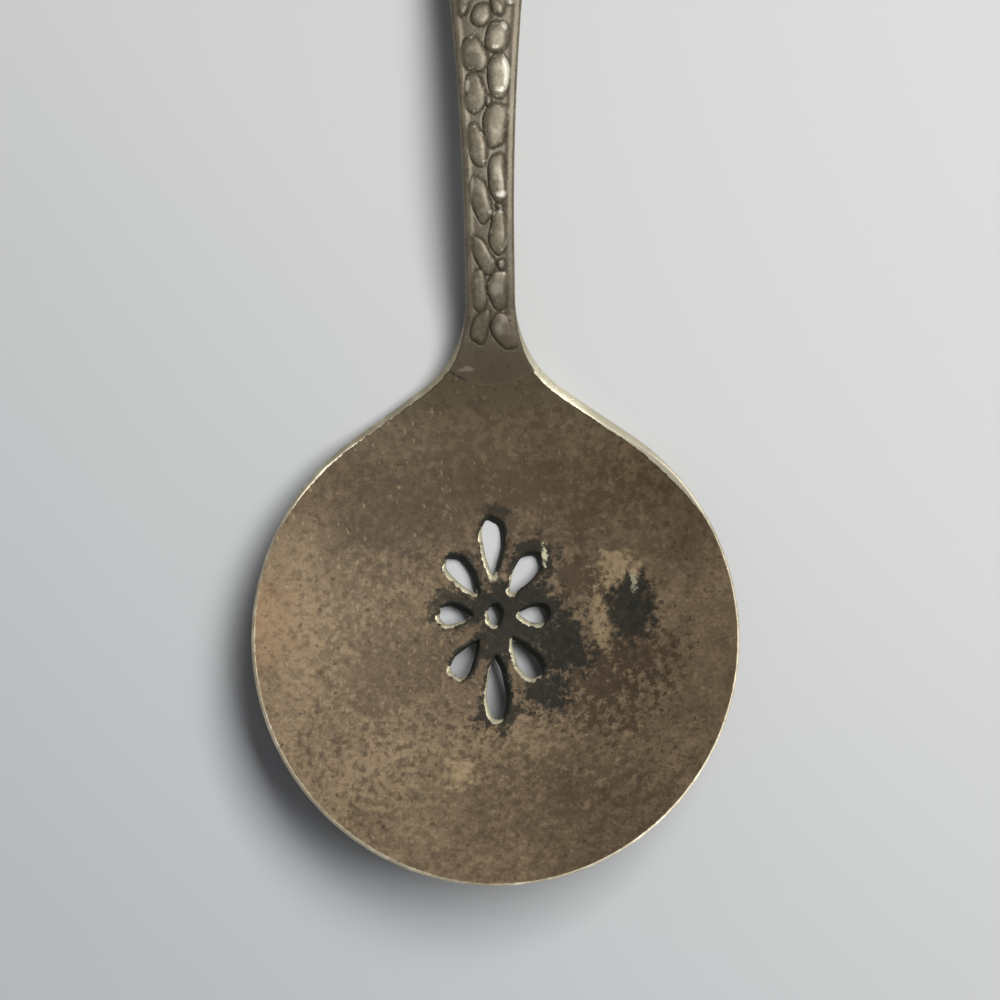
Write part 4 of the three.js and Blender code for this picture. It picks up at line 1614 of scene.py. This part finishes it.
        # painted light: lighter tarnish towards the lower left, the side that faces the lamp
        painted_light_lift = w.ranged(slant, *self.painted_light_from, *self.painted_light_by)
        tarnish = s.tarnish(colours.tarnish, painted_light_lift)
        s.colour = tarnish.outputs["Color"]
        # painted shade: umber and olive tones darken the bowl towards the neck, the side turned from the
        # lamp
        s.lay(w.product(w.step(s.y, *self.umber_shade_fade), self.umber_share), colours.umber)
        s.lay(w.product(w.step(s.y, *self.olive_shade_fade), self.olive_share), colours.olive)
        warm = w.step(w.maths("MULTIPLY", s.x, -1.0), *self.warm_across)
        away = w.maths("ABSOLUTE", w.minus(s.y, self.warm_middle))
        s.lay(w.product(warm, w.step(away, *self.warm_reach), self.warm_share), colours.orange)
        return tarnish.outputs["Height"]

    def _black(self, s: Surface, soot_edge: Socket) -> Socket:
        """The mask of the black stains and of the soot round and inside the holes, heavier as painted shade
        away from the lamp.
        """
        w = s.w
        hole, facing, upper = (w.float_of(name) for name in ("hole", "facing", "upper"))
        black = 0.0
        for stain in self.black:
            black = w.larger(black, s.patch(stain))
        width = w.ranged(soot_edge, *self.soot_width)
        # painted shade: the soot is heavier on the side of each hole that is turned from the lamp
        above = w.larger(upper, w.step(hole, *self.hole_wall))
        soot_and_shade = w.step(hole, width, w.product(width, self.soot_core))
        soot_and_shade = w.product(soot_and_shade, w.ranged(facing, *self.soot_shade_side), above)
        return w.larger(w.product(black, w.ranged(soot_edge, *self.soot_thickness)), soot_and_shade)

    def _lay_lips(self, s: Surface, soot_edge: Socket) -> Socket:
        """Lays the bare metal on the lit side of each hole, worn metal with a painted highlight, and gives
        its mask.
        """
        w, colours = s.w, self.palette
        hole, facing = w.float_of("hole"), w.float_of("facing")
        width = w.minus(w.product(w.step(facing, *self.lip_growth), self.lip_width), self.lip_inset)
        wear_and_highlight = w.use(self.effects.wear, Vector=s.place, Distance=hole, Width=width, Ragged=self.lip_ragged)
        # painted highlight: the cream lip shows only on the side of each hole that faces the lamp
        shown = w.product(w.step(facing, *self.lit_lip_side), w.step(hole, *self.lip_depth))
        lip = w.product(wear_and_highlight.outputs["Mask"], shown)
        tone = w.blend(w.step(soot_edge, *self.lip_tone), colours.dull_bare, colours.cream)
        s.lay(w.product(lip, self.lip_share), tone)
        return lip

    def _lay_edge(self, s: Surface, slant: Socket) -> Socket:
        """Lays the bare metal along the bowl's edge with a painted highlight on the right shoulder, and
        gives its mask.
        """
        w, colours = s.w, self.palette
        shoulder = w.step(s.y, *self.shoulder_fade)
        right = w.step(s.x, *self.right_fade)
        at_shoulder = w.product(shoulder, w.ranged(right, 0, 1, *self.shoulder_widths))
        width = w.plus(self.edge_width, at_shoulder)
        width = w.plus(width, w.product(w.step(slant, *self.left_fade), self.heel_width))
        ragged = w.ranged(shoulder, 0, 1, *self.edge_ragged)
        rim = w.float_of("rim")
        edge = w.use(self.effects.wear, Vector=s.place, Distance=rim, Width=width, Ragged=ragged)
        s.lay(w.product(edge.outputs["Line"], shoulder, GRIME_LINE), colours.grime)
        tone = w.noise(s.place, **EDGE_TONE).outputs[0]
        # painted highlight: the bare edge turns brighter on the right shoulder, which faces the lamp
        tone = w.plus(tone, w.product(shoulder, right, self.right_painted_light))
        bare = w.product(edge.outputs["Mask"], self.edge_share)
        s.lay(bare, w.blend(w.step(tone, *self.edge_tone), colours.dull_bare, colours.bare))
        return bare


@dataclass(frozen=True)
class SideFinish(Finish):
    """What the handle and the solder share: the bare metal along the side with grime inside it, and a
    painted highlight on the right.
    """

    neck_fade: Pair = (30.0, 24.0)
    side_ragged: float = 0.22
    side_share: Pair = (0.4, 0.92)
    side_tone: Pair = (0.35, 0.75)
    right_side: Pair = (-2.0, 2.0)
    # painted highlight: how much brighter the bare side is on the right, which faces the lamp
    right_painted_light: float = 0.3

    def lay_side(self, s: Surface, width: Value) -> None:
        """Lays the bare metal of a given width along the side and the line of grime inside it."""
        w, colours = s.w, self.palette
        near_neck = w.step(s.y, *self.neck_fade)
        edge = w.use(
            self.effects.wear,
            Vector=s.place,
            Distance=w.float_of("rim"),
            Width=width,
            Ragged=self.side_ragged,
        )
        s.lay(w.product(edge.outputs["Line"], near_neck, GRIME_LINE), colours.grime)
        tone = w.noise(s.place, **EDGE_TONE).outputs[0]
        # painted highlight: the bare side turns brighter on the right, which faces the lamp
        tone = w.plus(tone, w.product(w.step(s.x, *self.right_side), self.right_painted_light))
        tone = w.blend(w.step(tone, *self.side_tone), colours.dull_bare, colours.bare)
        s.lay(w.product(edge.outputs["Mask"], w.ranged(near_neck, 0, 1, *self.side_share)), tone)


@dataclass(frozen=True)
class HandleFinish(SideFinish):
    """Grey-olive tarnish, rubbed bright on the pebbles, dark with grime between them, with painted
    highlights on their flanks.
    """

    dark: tuple = srgb(87, 80, 65)
    middle: tuple = srgb(108, 100, 84)
    pale: tuple = srgb(130, 122, 105)
    rubbed: tuple = srgb(168, 162, 145)
    glint_highlight_colour: tuple = srgb(228, 223, 208)
    stretch: Triple = (2.0, 1.6, 1.0)
    olive_share: float = 0.8
    brown_fade: Pair = (31.0, 24.0)
    rub_share: float = 0.55
    rub_top: Pair = (0.75, 1.0)
    rub_patches: Pair = (0.4, 0.7)
    glint_share: float = 0.8
    glint_flank: Quad = (0.1, 0.4, 0.85, 0.6)
    glint_patches: Pair = (0.56, 0.66)
    glint_fade: Pair = (30.0, 34.0)
    ground_dirt: float = 0.1
    groove_dirt: float = 0.6
    ground_fade: Pair = (0.35, 0.0)
    dirt_patches: Quad = (0.35, 0.6, 0.45, 1.0)
    dirt_roughness: float = 0.2
    rub_polish: float = 0.12
    dot_depth: float = 0.4
    glint_highlight_flank: Quad = (0.12, 0.35, 0.97, 0.8)
    dots: Scatter = Scatter(0.9, 0.16, 0.3, 0.45)
    side_width: float = 0.06
    side_at_neck: float = 0.5
    roughness: Pair = (0.4, 0.54)
    metallic: Pair = (0.4, 0.2)
    bump: Pair = (0.4, 0.00005)
    neck_fleck: Stain = Stain(-2.4, 24.7, 0.7, 0.26, 3.6, 0.35, 0.5, 1.7)
    # painted highlights: bright glints laid on the pebbles' flanks where the lamp would shine
    glints: tuple[Stain, ...] = (
        Stain(1.8, 52.1, 0.4, 1.8, 1.2, 0.4, 0.9, 2.4),
        Stain(1.2, 50.3, 0.5, 0.3, 1.6, 0.4, 0.7, 2.4),
        Stain(2.3, 57.7, 0.4, 0.7, 1.6, 0.4, 0.9, 2.4),
        Stain(1.8, 56.3, 0.35, 0.5, 1.6, 0.4, 0.6, 2.4),
        Stain(0.8, 54.2, 0.3, 0.2, 1.4, 0.4, 0.6, 2.4),
        Stain(-1.8, 50.6, 0.25, 0.5, 1.6, 0.4, 0.6, 2.4),
        Stain(1.2, 40.6, 0.45, 0.3, 1.4, 0.4, 0.8, 2.4),
        Stain(1.2, 39.1, 0.35, 0.25, 1.4, 0.4, 0.6, 2.4),
        Stain(1.75, 36.0, 0.25, 0.5, 1.6, 0.4, 0.5, 2.4),
        Stain(-1.6, 41.5, 0.25, 0.8, 1.6, 0.4, 0.5, 2.4),
    )

    def material(self) -> Material:
        """Makes the material."""
        s = Surface("tarnished_handle", self.effects, self.shift_y)
        w, colours = s.w, self.palette
        raised = w.float_of("raised")
        tarnish = s.tarnish((self.dark, self.middle, self.pale), stretch=self.stretch)
        s.colour = tarnish.outputs["Color"]
        neck = w.blend(self.olive_share, s.tarnish(colours.tarnish).outputs["Color"], colours.olive)
        s.lay(w.step(s.y, *self.brown_fade), neck)
        rubbed = self._lay_rubbing(s, raised)
        dirt = self._lay_dirt(s, raised)
        dots = s.specks(self.dots)
        s.lay(w.product(dots, self.dots.strength), colours.grime)
        at_neck = w.product(w.step(s.y, *self.neck_fade), self.side_at_neck)
        self.lay_side(s, w.plus(self.side_width, at_neck))
        s.lay_stains((self.neck_fleck,), colours.dull_bare)
        # painted highlights: the glints on the pebbles' flanks
        s.lay_stains(self.glints, self.glint_highlight_colour, within=w.ridge(raised, *self.glint_highlight_flank))

        height = tarnish.outputs["Height"]
        dull = w.plus(s.dull(height, self.roughness), w.product(dirt, self.dirt_roughness))
        dull = w.minus(dull, w.product(rubbed, self.rub_polish))
        height = w.minus(height, w.product(dots, self.dot_depth))
        return s.finished(w.ranged(dirt, 0, 1, *self.metallic), dull, height, self.bump)

    def _lay_rubbing(self, s: Surface, raised: Socket) -> Socket:
        """Lays the rubbed tops of the pebbles and the glints, painted highlights, on their shoulders, and
        gives the first.
        """
        w = s.w
        where = w.noise(s.place, scale=0.8, detail=3.0).outputs[0]
        top = w.step(raised, *self.rub_top)
        rubbed = w.product(top, w.step(where, *self.rub_patches), self.rub_share)
        s.lay(rubbed, self.rubbed)
        # painted highlight: bright glints on the pebbles' shoulders
        where = w.noise(s.place, scale=1.3, detail=4.0, rough=0.7).outputs[0]
        glint = w.product(w.step(where, *self.glint_patches), w.step(s.y, *self.glint_fade))
        glint = w.product(glint, w.ridge(raised, *self.glint_flank))
        s.lay(w.product(glint, self.glint_share), self.palette.bare)
        return rubbed

    def _lay_dirt(self, s: Surface, raised: Socket) -> Socket:
        """Lays the grime between the pebbles and in the grooves round them, and gives its mask."""
        w = s.w
        groove, bedded = w.float_of("groove"), w.float_of("bedded")
        ground = w.product(bedded, w.step(raised, *self.ground_fade))
        where = w.noise(s.place, scale=1.1, detail=3.0, rough=0.6).outputs[0]
        dirt = w.larger(w.product(ground, self.ground_dirt), w.product(groove, self.groove_dirt))
        dirt = w.product(dirt, w.ranged(where, *self.dirt_patches))
        s.lay(dirt, self.palette.grime)
        return dirt


@dataclass(frozen=True)
class SolderFinish(SideFinish):
    """Solder as dark as the neck beside it, darkest at the left where the seam shows."""

    olive_share: float = 0.8
    dark_end: Pair = (-1.9, -2.8)
    dark_share: float = 0.85
    dark_patches: Pair = (0.3, 0.46)
    side_width: float = 0.56
    roughness: Pair = (0.45, 0.6)
    metallic: float = 0.25
    bump: Pair = (0.5, 0.00005)

    def material(self) -> Material:
        """Makes the material."""
        s = Surface("dark_solder", self.effects, self.shift_y)
        w, colours = s.w, self.palette
        tarnish = s.tarnish(colours.tarnish)
        s.colour = tarnish.outputs["Color"]
        s.lay(self.olive_share, colours.olive)
        broken = w.step(w.noise(s.place, scale=1.6, detail=3.0).outputs[0], *self.dark_patches)
        s.lay(w.product(w.step(s.x, *self.dark_end), broken, self.dark_share), colours.grime)
        self.lay_side(s, self.side_width)
        height = tarnish.outputs["Height"]
        return s.finished(self.metallic, s.dull(height, self.roughness), height, self.bump)


@dataclass(frozen=True)
class Studio:
    """The pale floor, the soft light from the upper right and the camera straight above."""

    floor_size: float = 3.0
    # painted shade: the floor runs from its lit tone to its shaded tone towards the lower left, away from
    # the lamp
    floor_shaded_tone: tuple = srgb(190, 194, 200)
    floor_lit_tone: tuple = srgb(208, 210, 211)
    floor_shade_fade: Pair = (-0.09, 0.0)
    floor_lean: float = 0.7
    floor_cloud: float = 0.15
    floor_roughness: Pair = (0.55, 0.65)
    camera_place: Triple = (0.608, -22.58, 308.25)
    camera_turn: float = -0.01518
    lens: float = 117.6
    sensor: float = 36.0
    clipping: Pair = (0.01, 10.0)
    key_bearing: float = 23.0
    key_height: float = 65.5
    key_distance: float = 0.55
    key_size: Pair = (0.24, 0.44)
    key_watts: float = 3.3
    key_colour: Triple = (1.0, 0.985, 0.955)
    fill: float = 0.16
    reflected: float = 0.55
    backdrop: tuple = srgb(214, 216, 219)

    def build(self) -> None:
        """Sets up the camera, the light, the surroundings and the floor."""
        self._camera()
        self._key_light()
        self._surroundings()
        self._floor()
        bpy.context.scene.view_settings.view_transform = "Standard"

    def _camera(self) -> None:
        """Puts the camera above the spoon, where the photograph was taken from."""
        data = bpy.data.cameras.new("camera")
        data.lens = self.lens
        data.sensor_width = self.sensor
        data.clip_start, data.clip_end = self.clipping
        camera = bpy.data.objects.new("camera", data)
        camera.location = [MM * v for v in self.camera_place]
        camera.rotation_euler = (0, 0, self.camera_turn)
        bpy.context.scene.collection.objects.link(camera)
        bpy.context.scene.camera = camera

    def _key_light(self) -> None:
        """Hangs the large soft lamp."""
        data = bpy.data.lights.new("key_light", "AREA")
        data.shape = "RECTANGLE"
        data.size, data.size_y = self.key_size
        data.energy = self.key_watts
        data.color = self.key_colour
        lamp = bpy.data.objects.new("key_light", data)
        bearing, height = math.radians(self.key_bearing), math.radians(self.key_height)
        out = np.array(
            [math.cos(bearing) * math.cos(height), math.sin(bearing) * math.cos(height), math.sin(height)]
        )
        lamp.location = self.key_distance * out
        lamp.rotation_euler = (0, math.pi / 2 - height, bearing)
        bpy.context.scene.collection.objects.link(lamp)

    def _surroundings(self) -> None:
        """Lights the room softly and shows a pale backdrop to the camera and in reflections."""
        world = bpy.data.worlds.new("studio")
        world.use_nodes = True
        world.node_tree.nodes.clear()
        w = Wiring(world.node_tree)
        seen = w.node("ShaderNodeLightPath").outputs
        glossy = w.larger(seen["Is Glossy Ray"], seen["Is Transmission Ray"])
        strength = w.ranged(glossy, 0, 1, self.fill, self.reflected)
        strength = w.larger(strength, seen["Is Camera Ray"])
        background = w.node("ShaderNodeBackground", {"Color": self.backdrop, "Strength": strength})
        output = w.node("ShaderNodeOutputWorld")
        w.feed(output.inputs["Surface"], background.outputs[0])
        bpy.context.scene.world = world

    def _floor(self) -> None:
        """Lays the floor at the height of the table."""
        Bench.clear()
        bpy.ops.mesh.primitive_grid_add(x_subdivisions=2, y_subdivisions=2, size=self.floor_size)
        floor = bpy.context.object
        floor.name = floor.data.name = "floor"
        material, w, shader = new_material("pale_floor")
        place = w.node("ShaderNodeTexCoord").outputs["Object"]
        cloud = w.noise(place, scale=9.0, detail=2.0).outputs[0]
        axes = w.node("ShaderNodeSeparateXYZ", {0: place}).outputs
        # painted shade: the floor's colour darkens towards the lower left, away from the lamp
        across = w.plus(w.product(axes[0], self.floor_lean), axes[1])
        plain = w.ranged(across, *self.floor_shade_fade, 0.0, 1.0 - self.floor_cloud)
        shade = w.plus(plain, w.product(cloud, self.floor_cloud))
        w.feed(shader.inputs["Base Color"], w.blend(shade, self.floor_shaded_tone, self.floor_lit_tone))
        w.feed(shader.inputs["Roughness"], w.ranged(cloud, 0, 1, *self.floor_roughness))
        floor.data.materials.append(material)


def main() -> None:
    """Builds and dresses the spoon in order, then sets it in the studio."""
    logging.basicConfig(level=logging.INFO, format="%(name)s: %(message)s")
    form = SpoonForm()
    shift_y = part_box("handle")[1].y / MM - form.tip_y
    seam, bed, effects = Seam(form), PebbleBed(form), Effects()
    Studio().build()
    jobs = (
        (Bowl(form, seam, Piercing(form)), BowlFinish(effects, shift_y)),
        (Handle(form, seam, bed), HandleFinish(effects, shift_y)),
        (SolderSeam(form, seam, bed), SolderFinish(effects, shift_y)),
    )
    for maker, finish in jobs:
        piece = maker.build()
        maker.dress(piece, finish, shift_y)
        log.info("%s: %d faces", piece.name, len(piece.data.polygons))


if __name__ == "__main__":
    main()
